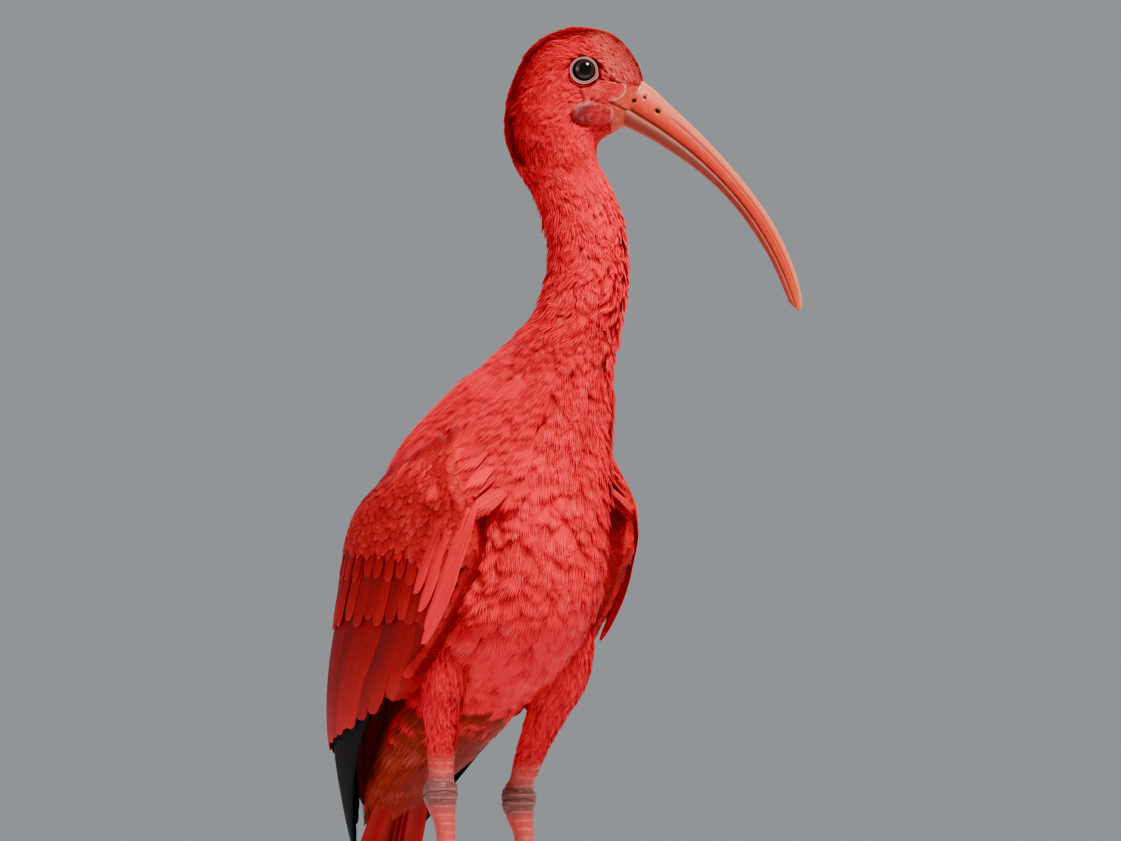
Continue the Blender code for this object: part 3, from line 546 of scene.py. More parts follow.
def toe_surface(root, heading, length, half_width, sign, is_claw):
    turn = math.radians((heading + TOE_TURN_OUT) * sign)
    out, on = math.sin(turn), math.cos(turn)
    start, end = (length - CLAW_LENGTH - 1.0, length) if is_claw else (0.0, length - CLAW_LENGTH + 1.2)

    def surface(share, angle):
        run = start + (end - start) * share
        radius, middle, claw = toe_sizes(run, length, half_width)
        rounded = np.sqrt(np.clip(1 - np.clip((share - 0.86) / 0.14, 0, 1) ** 2, 0, 1))
        turned = np.radians(angle)
        wide, tall = np.cos(turned), np.sin(turned)
        if is_claw:
            radius = radius * (0.62 - 0.56 * claw ** 1.3) * np.sqrt(np.clip(share * 8, 0, 1))
            middle = middle * (1 - 0.72 * claw ** 1.4) + 0.2
        else:
            plates = 0.30 * (1 - (2 * (run / TOE_PLATE % 1.0) - 1) ** 6) * np.clip(tall * 1.6, 0, 1)
            pads = 0.22 * np.sin(run * math.tau / 1.9 + 2 * wide) * np.clip(-tall, 0, 1)
            radius = (radius + plates + pads) * rounded * np.sqrt(np.clip(share * 20, 0, 1))
        middle = middle + 0 * run
        height = np.maximum(middle + radius * tall * (1.0 if is_claw else 1.02), 0.05)
        left = root[0] + out * run + on * radius * wide
        ahead = root[1] + on * run - out * radius * wide
        return np.stack([left, -ahead, height], -1) * MM + np.array(ORIGIN)
    return surface


skin_finish, sockets = finish_named("bare_and_feathered_skin", 0.45, Specular_IOR_Level=0.2)
skin = made_of("skin", tube(skin_of_trunk, 168, HEAD_RINGS + BODY_RINGS), skin_finish)
limbs, claws = [], []
claw_horn, claw_sockets = finish_named("dark_claw_horn", 0.32)
for sign, limb in LEGS.items():
    limbs.append(made_of("leg", tube(skin_of_leg(limb), 44, THIGH_RINGS + SHANK_RINGS), skin_finish))
    root = limb.rows[-1][:2]
    for heading, length, half_width in TOES:
        sizes = (root, heading, length, half_width, sign)
        limbs.append(made_of("toe", tube(toe_surface(*sizes, False), 20, 84), skin_finish))
        claws.append(made_of("claw", tube(toe_surface(*sizes, True), 14, 16), claw_horn))
combined(skin, limbs, "UNION", "MANIFOLD")
first_claw = combined(claws[0], claws[1:], "UNION")
first_claw.name = "claws"
fixed(first_claw, "leg_skin")
where = add(claw_horn, "TexCoord", output="Object")
streak = add(claw_horn, "TexNoise", {"Vector": where, "Scale": 420.0, "Detail": 3.0})
shade = add(claw_horn, "ValToRGB", {"Fac": streak}, [(0.35, "#1B1413"), (0.7, "#40302D")])
join_up(claw_horn, shade, claw_sockets["Base Color"])
bump = add(claw_horn, "Bump", {"Height": streak, "Strength": 0.2, "Distance": 0.0002})
join_up(claw_horn, bump, claw_sockets["Normal"])

# Marks on the skin: how bare it is, how pale a fold or the shank is, with painted highlights on the
# edges of the shank's front plates, how purple the heel and pouch are, and where the face hardens
# into the bill's horn. A second set tells how far ahead of the eye and above it each point is, in
# millimetres, how strongly the fine lines of the face show, and how much painted shade darkens the
# face's creases and the eye's socket.
points = np.empty(len(skin.data.vertices) * 3)
skin.data.vertices.foreach_get("co", points)
points = points.reshape(-1, 3)
ahead, up, out = in_head(points)
on_face = (up > -42) & (ahead > -14)
bare = bareness(ahead, up) * on_face
pale = 0.6 * eased(1.15 - from_line(ahead, up, LORE_FOLD) / 0.8)
pale += 0.75 * eased(1.15 - from_line(ahead, up, CHIN_FOLD) / 0.8)
pale += 0.5 * eased(1.2 - from_line(ahead, up, MOUTH_PALE) / 1.3)
purple = eased(in_pouch(ahead, up) * 3) * (0.3 + 0.4 * eased((7 - ahead) / 6))
horn_like = on_face * horn_share(ahead, up)
heights = points[:, 2] / MM
leg_pale_and_highlight = 0 * heights


def ahead_of(points, ahead):
    """How far the points lie ahead of a limb's middle, in millimetres."""
    return ORIGIN.y / MM - points[:, 1] / MM - ahead


for sign, limb in LEGS.items():
    left_at, ahead_at = (np.interp(heights, limb.rows[::-1, 2], limb.rows[::-1, axis]) for axis in (0, 1))
    away = np.hypot(points[:, 0] / MM - ORIGIN.x / MM - left_at, points[:, 1] / MM - ORIGIN.y / MM + ahead_at)
    beside = (away < 14) | (heights < 12)
    heel_up = float(height_on(limb, HEEL))
    hem = float(height_on(limb, BARE_LEG))
    purple = np.maximum(purple, beside * eased(1.5 - np.abs(heights - heel_up) / 8))
    bare = np.maximum(bare, beside * eased((hem + 7 - heights) / 5))
    shank = beside * eased((hem + 2 - heights) / 6)
    # The shank is pale pink all over, and painted highlights brighten the edges of its front plates.
    painted_highlight_at_plate_edges = np.abs(2 * (heights / SCUTE_HEIGHT % 1.0) - 1) ** 6
    ahead_side = eased((ahead_of(points, ahead_at) - 1.5) / 1.5)
    leg_pale_and_highlight = np.maximum(leg_pale_and_highlight, shank * (0.2 + 0.35 * painted_highlight_at_plate_edges * ahead_side))
marks = np.stack([bare, np.where(on_face, pale, leg_pale_and_highlight), np.where(on_face | (heights < 130), purple, 0), horn_like], -1)
layer = skin.data.color_attributes.new("marks", "FLOAT_COLOR", "POINT")
layer.data.foreach_set("color", marks.clip(0, 1).astype(np.float32).ravel())
lined = on_face * bare * (1 - 0.6 * horn_like) * eased((np.hypot(ahead, up) - 8.5) / 2) * (1 - in_brow(ahead, up))
layer = skin.data.color_attributes.new("face", "FLOAT_COLOR", "POINT")
brow_creases = [list(zip(BROW_EDGES[0], edge)) for edge in BROW_EDGES[1:]]
# Painted shade: the brow's creases, the mouth line and the eye's socket are painted dark.
crease = 0.55 * eased(1.2 - from_line(ahead, up, brow_creases[0]) / 0.9)
crease += 0.95 * eased(1.25 - from_line(ahead, up, brow_creases[1]) / 0.8)
crease += 0.9 * eased(1.2 - from_line(ahead, up, MOUTH_LINE) / 0.7) + 0.35 * eased((8.6 - np.hypot(ahead, up)) / 1)
crease = (on_face * crease).clip(0, 1)
layer.data.foreach_set("color", np.stack([ahead, up, lined, crease], -1).astype(np.float32).ravel())
fixed(
    skin, "leg_skin", "head", "neck_upper", "neck_lower", "torso", "tail", "thigh_right", "thigh_left",
    "shank_right", "shank_left", "foot_right", "foot_left",
)

# Bare skin is salmon red, creased and a little moist. Under the coat it is a deep dark red, painted shade for the gaps
# between the feathers.
marks = add(skin_finish, "SeparateColor", {"Color": add(skin_finish, "VertexColor", layer_name="marks")})
is_bare, is_pale, is_purple = marks.node.outputs
is_horn = add(skin_finish, "VertexColor", output="Alpha", layer_name="marks")
where = add(skin_finish, "TexCoord", output="Object")
creases = add(skin_finish, "TexVoronoi", {"Vector": where, "Scale": 1300.0}, feature="DISTANCE_TO_EDGE")
creases = add(skin_finish, "MapRange", {"Value": creases, "From Max": 0.12})
mottle = add(skin_finish, "TexNoise", {"Vector": where, "Scale": 420.0, "Detail": 5.0})
face = add(skin_finish, "SeparateXYZ", {0: add(skin_finish, "VertexColor", layer_name="face")})
face_ahead, face_up, lined = face.node.outputs
swirl = add(skin_finish, "TexNoise", {"Vector": where, "Scale": 90.0, "Detail": 1.0})
crease = add(skin_finish, "VertexColor", output="Alpha", layer_name="face")
slant = add(skin_finish, "Math", {0: face_ahead, 1: 0.62, 2: face_up}, operation="MULTIPLY_ADD")
slant = add(skin_finish, "Math", {0: swirl, 1: 2.6, 2: slant}, operation="MULTIPLY_ADD")
lines = add(skin_finish, "Math", {0: add(skin_finish, "Math", {0: slant, 1: math.tau / 1.15}, operation="MULTIPLY")},
            operation="SINE")
lines = add(skin_finish, "MapRange", {"Value": lines, "From Min": -1.0})
depth = add(skin_finish, "Math", {0: lines, 1: lined}, operation="MULTIPLY")
value = add(skin_finish, "Math", {0: depth, 1: 0.20, 2: mottle}, operation="MULTIPLY_ADD")
red = add(skin_finish, "ValToRGB", {"Fac": value}, [(0.40, "#A40008"), (0.66, "#D20A12"), (0.95, "#EC4C44")])
purple = add(skin_finish, "ValToRGB", {"Fac": value}, [(0.40, "#1E060C"), (0.66, "#501420"), (0.95, "#A05058")])
# Painted shade: the skin under the coat is a deep dark red.
painted_shade_under_coat = add(skin_finish, "ValToRGB", {"Fac": mottle}, [(0.3, "#6A0006"), (0.7, "#9A000C")])
horn = add(skin_finish, "ValToRGB", {"Fac": value}, [(0.40, "#BC301C"), (0.66, "#D2442C"), (0.95, "#E46C50")])
shade = add(skin_finish, "Mix", {"Factor": is_horn, "A": red, "B": horn}, data_type="RGBA")
shade = add(skin_finish, "Mix", {"Factor": is_purple, "A": shade, "B": purple}, data_type="RGBA")
shade = add(skin_finish, "Mix", {"Factor": is_pale, "A": shade, "B": linear("#E0867A")}, data_type="RGBA")
# The painted shade of the creases and the eye's socket.
shade = add(skin_finish, "Mix", {"Factor": crease, "A": shade, "B": linear("#3A0408")}, data_type="RGBA")
# Painted shade: the nostril's hole in the face skin is painted nearly black.
from_nostril = add(skin_finish, "VectorMath", {
    0: add(skin_finish, "CombineXYZ", {0: face_ahead, 1: face_up}), 1: (26.6, -16.9, 0.0),
}, operation="DISTANCE", output="Value")
pit = add(skin_finish, "MapRange", {"Value": from_nostril, "From Min": 0.8, "From Max": 1.6, "To Min": 1.0, "To Max": 0.0})
shade = add(skin_finish, "Mix", {"Factor": pit, "A": shade, "B": linear("#160505")}, data_type="RGBA")
shade = add(skin_finish, "Mix", {"Factor": is_bare, "A": painted_shade_under_coat, "B": shade}, data_type="RGBA")
join_up(skin_finish, shade, sockets["Base Color"])
dull = add(skin_finish, "MapRange", {"Value": is_bare, "To Min": 0.9, "To Max": 0.44})
dull = add(skin_finish, "Math", {0: is_purple, 1: -0.18, 2: dull}, operation="MULTIPLY_ADD")
dull = add(skin_finish, "Math", {0: dull, 1: pit}, operation="MAXIMUM")
join_up(skin_finish, dull, sockets["Roughness"])
bump = add(skin_finish, "Bump", {"Height": creases, "Strength": 0.2, "Distance": 0.0003})
bump = add(skin_finish, "Bump", {"Height": mottle, "Strength": 0.3, "Distance": 0.0004, "Normal": bump})
bump = add(skin_finish, "Bump", {"Height": depth, "Strength": 0.6, "Distance": 0.0004, "Normal": bump})
join_up(skin_finish, bump, sockets["Normal"])


# Feathers are joined meshes. One feather is drawn flat, across from -1 to 1 and along from
# root to tip, and is laid many times on a form, following its curve, its tip raised over the
# roots of the next ones. Small ones are fans of tapered blades, which look like loose barbs.
def as_arrays(bm):
    """A feather's points, the corners of its faces, and how many corners each face has."""
    bm.verts.index_update()
    points = np.array([vert.co for vert in bm.verts])
    corners = np.array([vert.index for face in bm.faces for vert in reversed(face.verts)])
    sizes = np.array([len(face.verts) for face in bm.faces])
    bm.free()
    return points, corners, sizes


def fan(blades, segments, seed, width=1.25, camber=0.16, taper=2.6, ragged=0.5):
    """A soft feather of blades side by side that spread out from its root."""
    bm = bmesh.new()
    rng = np.random.default_rng(seed)
    for number in range(blades):
        out = (number + 0.5) / blades * 2 - 1
        reach = 1 - 0.30 * out**2 + rng.uniform(-0.09, 0.06)
        bend, tilt = rng.uniform(-0.14, 0.14) * ragged, rng.uniform(-1, 1) * ragged
        for vert in bmesh.ops.create_grid(bm, x_segments=1, y_segments=segments, size=1.0)["verts"]:
            side, along = vert.co.x, (vert.co.y + 1) / 2
            half = width / blades * (0.55 + 0.45 * min(along * 3, 1)) * (1 - 0.92 * along**taper)
            across = out * (0.3 + 0.7 * along**0.8) + bend * along**2 + side * half
            raised = -camber * across**2 + 0.04 * (number % 2) + tilt * side * half
            vert.co = (across, along * reach, raised)
    return as_arrays(bm)


def scattered(form, places, angles, spacing, seed):
    """Roots spread evenly over part of a form, none nearer to another than the spacing allows."""
    rng = np.random.default_rng(seed)

    def drawn(count):
        place, angle = rng.uniform(*places, count), rng.uniform(*angles, count)
        area = np.linalg.norm(np.cross(*form.slopes(place, angle)), axis=-1)
        return place, angle, area / spacing(place) ** 2

    density = drawn(4000)[2]
    wanted = density.mean() * (places[1] - places[0]) * (angles[1] - angles[0])
    place, angle, found = drawn(int(wanted * 7 * density.max() / density.mean()))
    keep = rng.random(len(place)) < found / density.max()
    place, angle = place[keep], angle[keep]
    points = form.point(place, angle) / MM
    nearest = spacing(place) * 0.8
    cells, chosen = {}, []
    keys = np.floor(points / nearest.max()).astype(int).tolist()
    around = [(x, y, z) for x in (-1, 0, 1) for y in (-1, 0, 1) for z in (-1, 0, 1)]
    for number, ((x, y, z), point, apart) in enumerate(zip(keys, points.tolist(), nearest.tolist())):
        others = (other for dx, dy, dz in around for other in cells.get((x + dx, y + dy, z + dz), ()))
        if all(math.dist(point, other) > apart for other in others):
            cells.setdefault((x, y, z), []).append(point)
            chosen.append(number)
    return place[chosen], angle[chosen]


def wander(points, size, seed):
    """A smooth value of about -1 to 1 that changes over a size in millimetres."""
    rng = np.random.default_rng(seed)
    total = 0
    for _ in range(7):
        wave = rng.normal(size=3)
        wave *= math.tau / (size * MM * rng.uniform(0.7, 1.5) * np.linalg.norm(wave))
        total = total + np.sin(points @ wave + rng.uniform(0, math.tau))
    return total / 3.2


def laid(form, sign, root, tip, half_width, lifts, feather, roll=0.0, sunk=0.0):
    """Points of many feathers on a form: their roots and tips are rows of place and angle.

    Each starts sunk in, is rolled to lie over its neighbour, and rises from one lift to the other.
    """
    across, along, raised = feather[0].T
    run = tip - root
    place = root[:, :1] + run[:, :1] * along
    angle = sign * (root[:, 1:] + run[:, 1:] * along)
    slopes = form.slopes(place, angle)
    ahead = slopes[0] * run[:, :1, None] + slopes[1] * (sign * run[:, 1:, None])
    side = np.cross(np.cross(ahead, slopes[1] * sign), ahead)
    side /= np.linalg.norm(side, axis=-1, keepdims=True)
    half_width = np.broadcast_to(half_width, len(root))
    offset = half_width[:, None] * across
    place, angle = form.moved(place, angle, side, offset, slopes)
    start, end = (np.broadcast_to(lift, len(root))[:, None] for lift in lifts)
    lift = start + (end - start) * along + raised * half_width[:, None]
    return form.point(place, angle, lift - roll * offset - sunk * (1 - along / 0.22).clip(0))


BAKE_PATCH = (0.003, 0.003)


def plumage(name, finish, sign, feather, points, bake, seed, patch=BAKE_PATCH, pale=0.0):
    """One mesh of many like feathers: its vane map, its bake map, and a tint and a paleness for each."""
    flat, corners, sizes = feather
    count, size = points.shape[:2]
    if sign < 0:
        starts = np.repeat(np.cumsum(sizes) - sizes, sizes)
        within = np.arange(len(corners)) - starts
        corners = corners[starts + np.repeat(sizes, sizes) - 1 - within]
    mesh = bpy.data.meshes.new(name)
    mesh.vertices.add(count * size)
    mesh.vertices.foreach_set("co", points.astype(np.float32).ravel())
    mesh.loops.add(count * len(corners))
    loops = (corners + size * np.arange(count)[:, None]).ravel()
    mesh.loops.foreach_set("vertex_index", loops.astype(np.int32))
    mesh.polygons.add(count * len(sizes))
    first = np.cumsum(sizes) - sizes + len(corners) * np.arange(count)[:, None]
    mesh.polygons.foreach_set("loop_start", first.ravel().astype(np.int32))
    mesh.update(calc_edges=True)
    vane = flat[corners][:, :2] * (0.5, 1.0) + (0.5, 0.0)
    mesh.uv_layers.new(name="vane").uv.foreach_set("vector", np.tile(vane, (count, 1)).astype(np.float32).ravel())
    patches = bake[:, None] + (vane - (0.5, 0.5)) * patch
    mesh.uv_layers.new(name="OFBake").uv.foreach_set("vector", patches.astype(np.float32).ravel())
    tint = np.repeat(np.random.default_rng(seed).random(count), size)
    mesh.attributes.new("tint", "FLOAT", "POINT").data.foreach_set("value", tint.astype(np.float32))
    pale = np.repeat(np.broadcast_to(pale, count), size)
    mesh.attributes.new("pale", "FLOAT", "POINT").data.foreach_set("value", pale.astype(np.float32))
    mesh.shade_smooth()
    mesh.materials.append(finish)
    made = bpy.data.objects.new(name, mesh)
    bpy.context.scene.collection.objects.link(made)
    return fixed(made, "feather")


def unwrapped(place, angle, places, angles):
    """Where a root lies on a flat unwrap of its form, inside the bake's square."""
    flat = [(place - places[0]) / (places[1] - places[0]), (angle - angles[0]) / (angles[1] - angles[0])]
    return 0.01 + 0.98 * np.stack(flat, -1).clip(0, 1)


# The feathers' own finish: scarlet carotene colour, with fine streaks that run as the barbs do.
# Each feather is painted deeper at the root, as shade where the next feathers overlap it, and
# paler along its loose edge and tip, as light where it lies free. It is satin, and the sheen is
# the light that its barbs catch at a glancing angle.
def feather_finish(name, colours, streaks, barb_slope=None, relief=0.3, roughness=0.55, edge=0.0, patchy=0.3,
                   painted_tip_light=0.2, painted_shade=0.0):
    finish, sockets = finish_named(name, roughness, Specular_IOR_Level=0.08)
    vane = add(finish, "SeparateXYZ", {0: add(finish, "UVMap", uv_map="vane")})
    across, along = vane.node.outputs[0], vane.node.outputs[1]
    tint = add(finish, "Attribute", output="Fac", attribute_name="tint")
    centred = add(finish, "Math", {0: across, 1: 0.5}, operation="SUBTRACT")
    from_shaft = add(finish, "Math", {0: centred}, operation="ABSOLUTE")
    if barb_slope is None:
        fine, coarse = across, along
    else:
        fine = add(finish, "Math", {0: from_shaft, 1: -barb_slope, 2: along}, operation="MULTIPLY_ADD")
        coarse = from_shaft
    grain = add(finish, "CombineXYZ", {
        0: add(finish, "Math", {0: fine, 1: streaks[0]}, operation="MULTIPLY"),
        1: add(finish, "Math", {0: coarse, 1: streaks[1]}, operation="MULTIPLY"),
        2: add(finish, "Math", {0: tint, 1: 37.0}, operation="MULTIPLY"),
    })
    streak = add(finish, "TexNoise", {"Vector": grain, "Scale": 1.0, "Detail": 3.0, "Roughness": 0.65})
    where = add(finish, "TexCoord", output="Object")
    patch = add(finish, "TexNoise", {"Vector": where, "Scale": 38.0, "Detail": 2.0})
    # Painted shade deepens the root, and painted light brightens the tip and the loose edge.
    towards_tip = add(finish, "Math", {0: along, 1: 4.0}, operation="POWER")
    value = add(finish, "Math", {0: towards_tip, 1: painted_tip_light, 2: -0.16 - painted_shade - patchy / 2}, operation="MULTIPLY_ADD")
    value = add(finish, "Math", {0: along, 1: 0.18, 2: value}, operation="MULTIPLY_ADD")
    for part, weight in ((streak, 0.75), (tint, 0.22), (patch, patchy), (from_shaft, edge)):
        value = add(finish, "Math", {0: part, 1: weight, 2: value}, operation="MULTIPLY_ADD")
    deep, main, light = colours
    shade = add(finish, "ValToRGB", {"Fac": value}, [(0.12, deep), (0.5, main), (0.88, light)])
    # Pale pink for the forehead, and painted highlights on the strands that catch the light.
    pale_and_painted_highlight = add(finish, "ValToRGB", {"Fac": streak}, [(0.3, "#DE3A34"), (0.5, "#F26A5E"), (0.7, "#FF9C8C")])
    pale = add(finish, "Attribute", output="Fac", attribute_name="pale")
    pale = add(finish, "Math", {0: pale, 1: add(finish, "Math", {0: along, 1: 0.75, 2: 0.25}, operation="MULTIPLY_ADD")},
               operation="MULTIPLY")
    shade = add(finish, "Mix", {"Factor": pale, "A": shade, "B": pale_and_painted_highlight}, data_type="RGBA")
    join_up(finish, shade, sockets["Base Color"])
    bump = add(finish, "Bump", {"Height": streak, "Strength": relief, "Distance": 0.0004})
    join_up(finish, bump, sockets["Normal"])
    return finish


down_finish = feather_finish("scarlet_body_feather", ("#8E000C", "#F00226", "#FF2238"), (16.0, 2.0))

# Head, neck and body carry one coat that grows from hair-like tufts on the face to broad
# loose feathers on the breast. Their lie follows the body and wanders a little.
FEATHER_SIZES = {
    "place": (0, 1.5, 3, 6, 9, 12, 15, 17, 19, 22, 27, 31),
    "length": (1.8, 2.6, 4.2, 5.6, 6.4, 7.6, 9.4, 12.0, 15.5, 18.0, 19.0, 15.0),
    "half_width": (0.5, 0.7, 1.0, 1.4, 1.8, 2.3, 3.3, 4.4, 5.8, 6.6, 7.0, 5.5),
    "spacing": (0.95, 1.0, 1.15, 1.45, 1.85, 2.5, 3.4, 4.2, 5.2, 5.8, 6.2, 5.0),
}


def feather_size(what, place):
    return np.interp(place, FEATHER_SIZES["place"], FEATHER_SIZES[what])


WING_FRONT_ON_BODY = ((18.5, 21.0, 24.5), (80, 65, 77))


def flank_puff(place, angle):
    """How far the loose flank feathers stand out to close the space in front of a wing's edge."""
    away = np.abs(angle) - np.interp(place, *WING_FRONT_ON_BODY)
    return 7.0 * np.exp(-((away / 11) ** 2)) * eased((place - 18.2) / 1.5) * eased((26 - place) / 2)


def coat(name, form, places, angles, feather, seed, swing, kept=None, raised=0.9, scale=1.0, size_at=None,
         finish=None):
    """Covers part of a form with feathers that lie towards its far end, swung a little to the sides."""
    size_at = size_at or (lambda place: place)
    place, angle = scattered(form, places, angles, lambda place: feather_size("spacing", size_at(place)), seed)
    points = form.point(place, angle)
    if kept is not None:
        keep = kept(points, place, angle)
        place, angle, points = place[keep], angle[keep], points[keep]
    rng = np.random.default_rng(seed + 1)
    count = len(place)
    turn = np.radians(swing * (wander(points, 16, seed) + 0.6 * wander(points, 6, seed + 5)))
    turn += np.radians(rng.normal(0, swing * 0.35, count))
    slopes = form.slopes(place, angle)
    ahead = slopes[0] / np.linalg.norm(slopes[0], axis=-1, keepdims=True)
    side = np.cross(np.cross(ahead, slopes[1]), ahead)
    side /= np.linalg.norm(side, axis=-1, keepdims=True)
    heading = ahead * np.cos(turn)[:, None] + side * np.sin(turn)[:, None]
    size = rng.uniform(0.8, 1.2, count) * scale
    length = feather_size("length", size_at(place)) * size
    tip = np.stack(form.moved(place, angle, heading, length, slopes), -1)
    root = np.stack([place, angle], -1)
    depth = coat_depth(size_at(place))
    lying = from_parting(place, angle) if form is trunk else 1.0
    rise = raised * rng.uniform(0.4, 1.3, count) * (0.25 + 0.045 * length) * lying
    rise = rise * (1 + 0.5 * wander(points, 13, seed + 9))
    if form is trunk:
        rise = rise + flank_puff(place, angle)
    lifts = (-depth - 0.2, rise)
    points = laid(form, 1, root, tip, feather_size("half_width", size_at(place)) * size, lifts, feather)
    bake = unwrapped(place, angle, places, angles)
    pale = paleness(form.point(place, angle), rng) if form is trunk else 0.0
    return plumage(name, finish or down_finish, 1, feather, points, bake, seed, pale=pale)


def paleness(points, rng):
    """How pale each feather is: the forehead is salmon pink, and a few strands anywhere carry a painted highlight."""
    ahead, up, _ = in_head(points)
    forehead = eased((ahead + 0.4 * up - 8) / 8) * eased((up + 13) / 5)
    cheek = eased((ahead + 12) / 6) * eased((4 - ahead) / 5) * eased((up + 24) / 3) * eased((-14 - up) / 3)
    draw = rng.random(len(points))
    # The last term is the painted highlight on a few random strands.
    return (forehead * (0.45 + 0.5 * draw) + 0.3 * cheek * draw + 0.16 * (draw > 0.88)).clip(0, 1)


# The feathers part along a line down the left of the throat and breast, given as places
# and angles of the body's form.
PARTING = [(13.2, 8), (14.1, 10), (15.4, 17), (16.3, 15), (17.4, 12), (18.3, 14), (19.4, 25), (20.3, 27), (21.8, 23)]


def from_parting(place, angle):
    """From 0 in the parting to 1 away from it."""
    away = np.abs(angle - np.interp(place, *zip(*PARTING)))
    ends = eased((PARTING[0][0] - place) / 0.8) + eased((place - PARTING[-1][0]) / 1.2)
    return np.maximum(eased((away - 1.0) / 7), ends.clip(0, 1))


def off_the_parting(points, place, angle):
    return from_parting(place, angle) > 0.06


def off_the_bare_face(points, place, angle):
    ahead, up, _ = in_head(points)
    behind_ahead, behind_up, _ = in_head(trunk.point(place + 0.3, angle))
    tip_ahead, tip_up, _ = in_head(trunk.point(place + 0.6, angle))
    off_eye = np.minimum(np.hypot(behind_ahead - EYE_SHIFT[0], behind_up - EYE_SHIFT[1]),
                         np.hypot(tip_ahead - EYE_SHIFT[0], tip_up - EYE_SHIFT[1])) > 7.3
    chance = np.random.default_rng(5).random(len(place))
    wedge = in_brow(behind_ahead, behind_up) + in_brow(ahead, up)
    return (np.maximum(bareness(ahead, up), wedge) * 1.15 < chance + 0.15) & off_eye


seen = bpy.context.evaluated_depsgraph_get()
wing_faces = [BVHTree.FromObject(frame["nodes"][name], seen) for name in ("wing_left", "wing_right")]


def not_under_wing(points, place, angle):
    """Leaves out the feathers that a folded wing hides, apart from those that reach out from under it."""
    out = trunk.point(place, angle, 1.0) - points
    tips = trunk.point(place + 0.9, angle)
    keep = off_the_parting(points, place, angle)
    nearer = trunk.point(place, np.sign(angle) * (np.abs(angle) - 16))
    for wing in wing_faces:
        for number, (root, tip, front, way) in enumerate(zip(points, tips, nearer, out)):
            starts = (root, tip, front)
            hits = (wing.ray_cast(Vector(start), Vector(way).normalized(), 0.05)[0] for start in starts)
            if all(hits):
                keep[number] = False
    return keep


coat("head_coat", trunk, (0.15, 9.2), (-180, 180), fan(3, 3, 11, width=0.9, ragged=0.9), 21, 26,
     off_the_bare_face, raised=1.5, scale=1.15)
coat("neck_coat", trunk, (8.8, 14.6), (-180, 180), fan(5, 3, 12, width=1.0, ragged=0.9), 22, 30,
     off_the_parting, raised=2.0, scale=1.15)
coat("shoulder_coat", trunk, (14.2, 18.4), (-180, 180), fan(9, 3, 13, camber=0.22, taper=3.5, ragged=0.35),
     23, 20, off_the_parting, raised=1.2)
coat("breast_coat", trunk, (18.0, 26.0), (-180, 180), fan(13, 4, 14, camber=0.30, taper=5, ragged=0.22),
     24, 14, not_under_wing, raised=1.1)
# The undertail feathers are brownish red, painted deeper as shade under the body.
undertail_finish = feather_finish(
    "brownish_undertail_feather_deepened_by_painted_shade", ("#480602", "#841206", "#B03418"), (24.0, 2.0), patchy=0.35)
coat("undertail_coat", trunk, (24.9, 30.6), (-180, 180), fan(15, 5, 15, taper=6, ragged=0.15), 25, 8, raised=0.8,
     scale=1.5, size_at=lambda place: 24 + 0 * place, finish=undertail_finish)
for sign, side in ((1, "left"), (-1, "right")):
    coat(side + "_thigh_coat", LEGS[sign], (0.1, BARE_LEG), (-180, 180), fan(5, 3, 16), 26, 14, raised=0.7,
         size_at=lambda place: 12.6 - 0.9 * place)

# Each wing lies folded along the body. Its feathers grow in tiers from a shield of skin and
# bone that rounds off at the shoulder and at the front edge. One feather is a closed thin
# vane with a raised shaft, rounded at the tip, with a few splits in its edge.
WING_SHELL = [
    (6.0, 292.0, -90.0, 308.0, 47.0, 0, 0),
    (8.0, 270.0, -104.0, 286.0, 58.0, 0, 0),
    (10.0, 246.0, -127.0, 261.0, 63.5, 0, 0),
    (6.0, 220.0, -141.0, 236.0, 65.0, 0, 0),
    (-2.0, 195.0, -150.0, 210.0, 65.0, 0, 0),
    (-18.0, 172.0, -157.0, 184.0, 63.5, 0, 0),
    (-38.0, 150.0, -164.0, 160.0, 60.5, 0, 0),
    (-62.0, 129.0, -169.5, 136.0, 54.5, 0, 0),
    (-86.0, 108.0, -173.0, 113.0, 46.0, 0, 0),
    (-107.0, 88.0, -174.5, 92.0, 36.5, 0, 0),
    (-125.0, 70.0, -175.0, 73.0, 27.5, 0, 0),
    (-142.0, 54.0, -175.5, 56.0, 18.5, 0, 0),
    (-157.0, 41.0, -176.0, 42.0, 10.0, 0, 0),
]
WING_FRONT = (96, 76, 57, 51, 57, 61, 64, 80)
WING_BACK = (122, 138, 155, 168, 175, 177.5, 178, 178)
WING_STEPS = (0, 0, 0, 1.0, 1.2, 3.4, 3.6, 4.2)
SHIELD_END = 6.4
FRONT_WALL = 17.0
FRONT_RADIUS = 8.0
MM_IN_DEGREE = 1.05


def wing_edges(place):
    """Angles of the folded wing's front edge and of its edge near the back's midline."""
    return np.interp(place, range(8), WING_FRONT), np.interp(place, range(8), WING_BACK)


def wing_top(across):
    return 0.85 + 1.9 * across * across


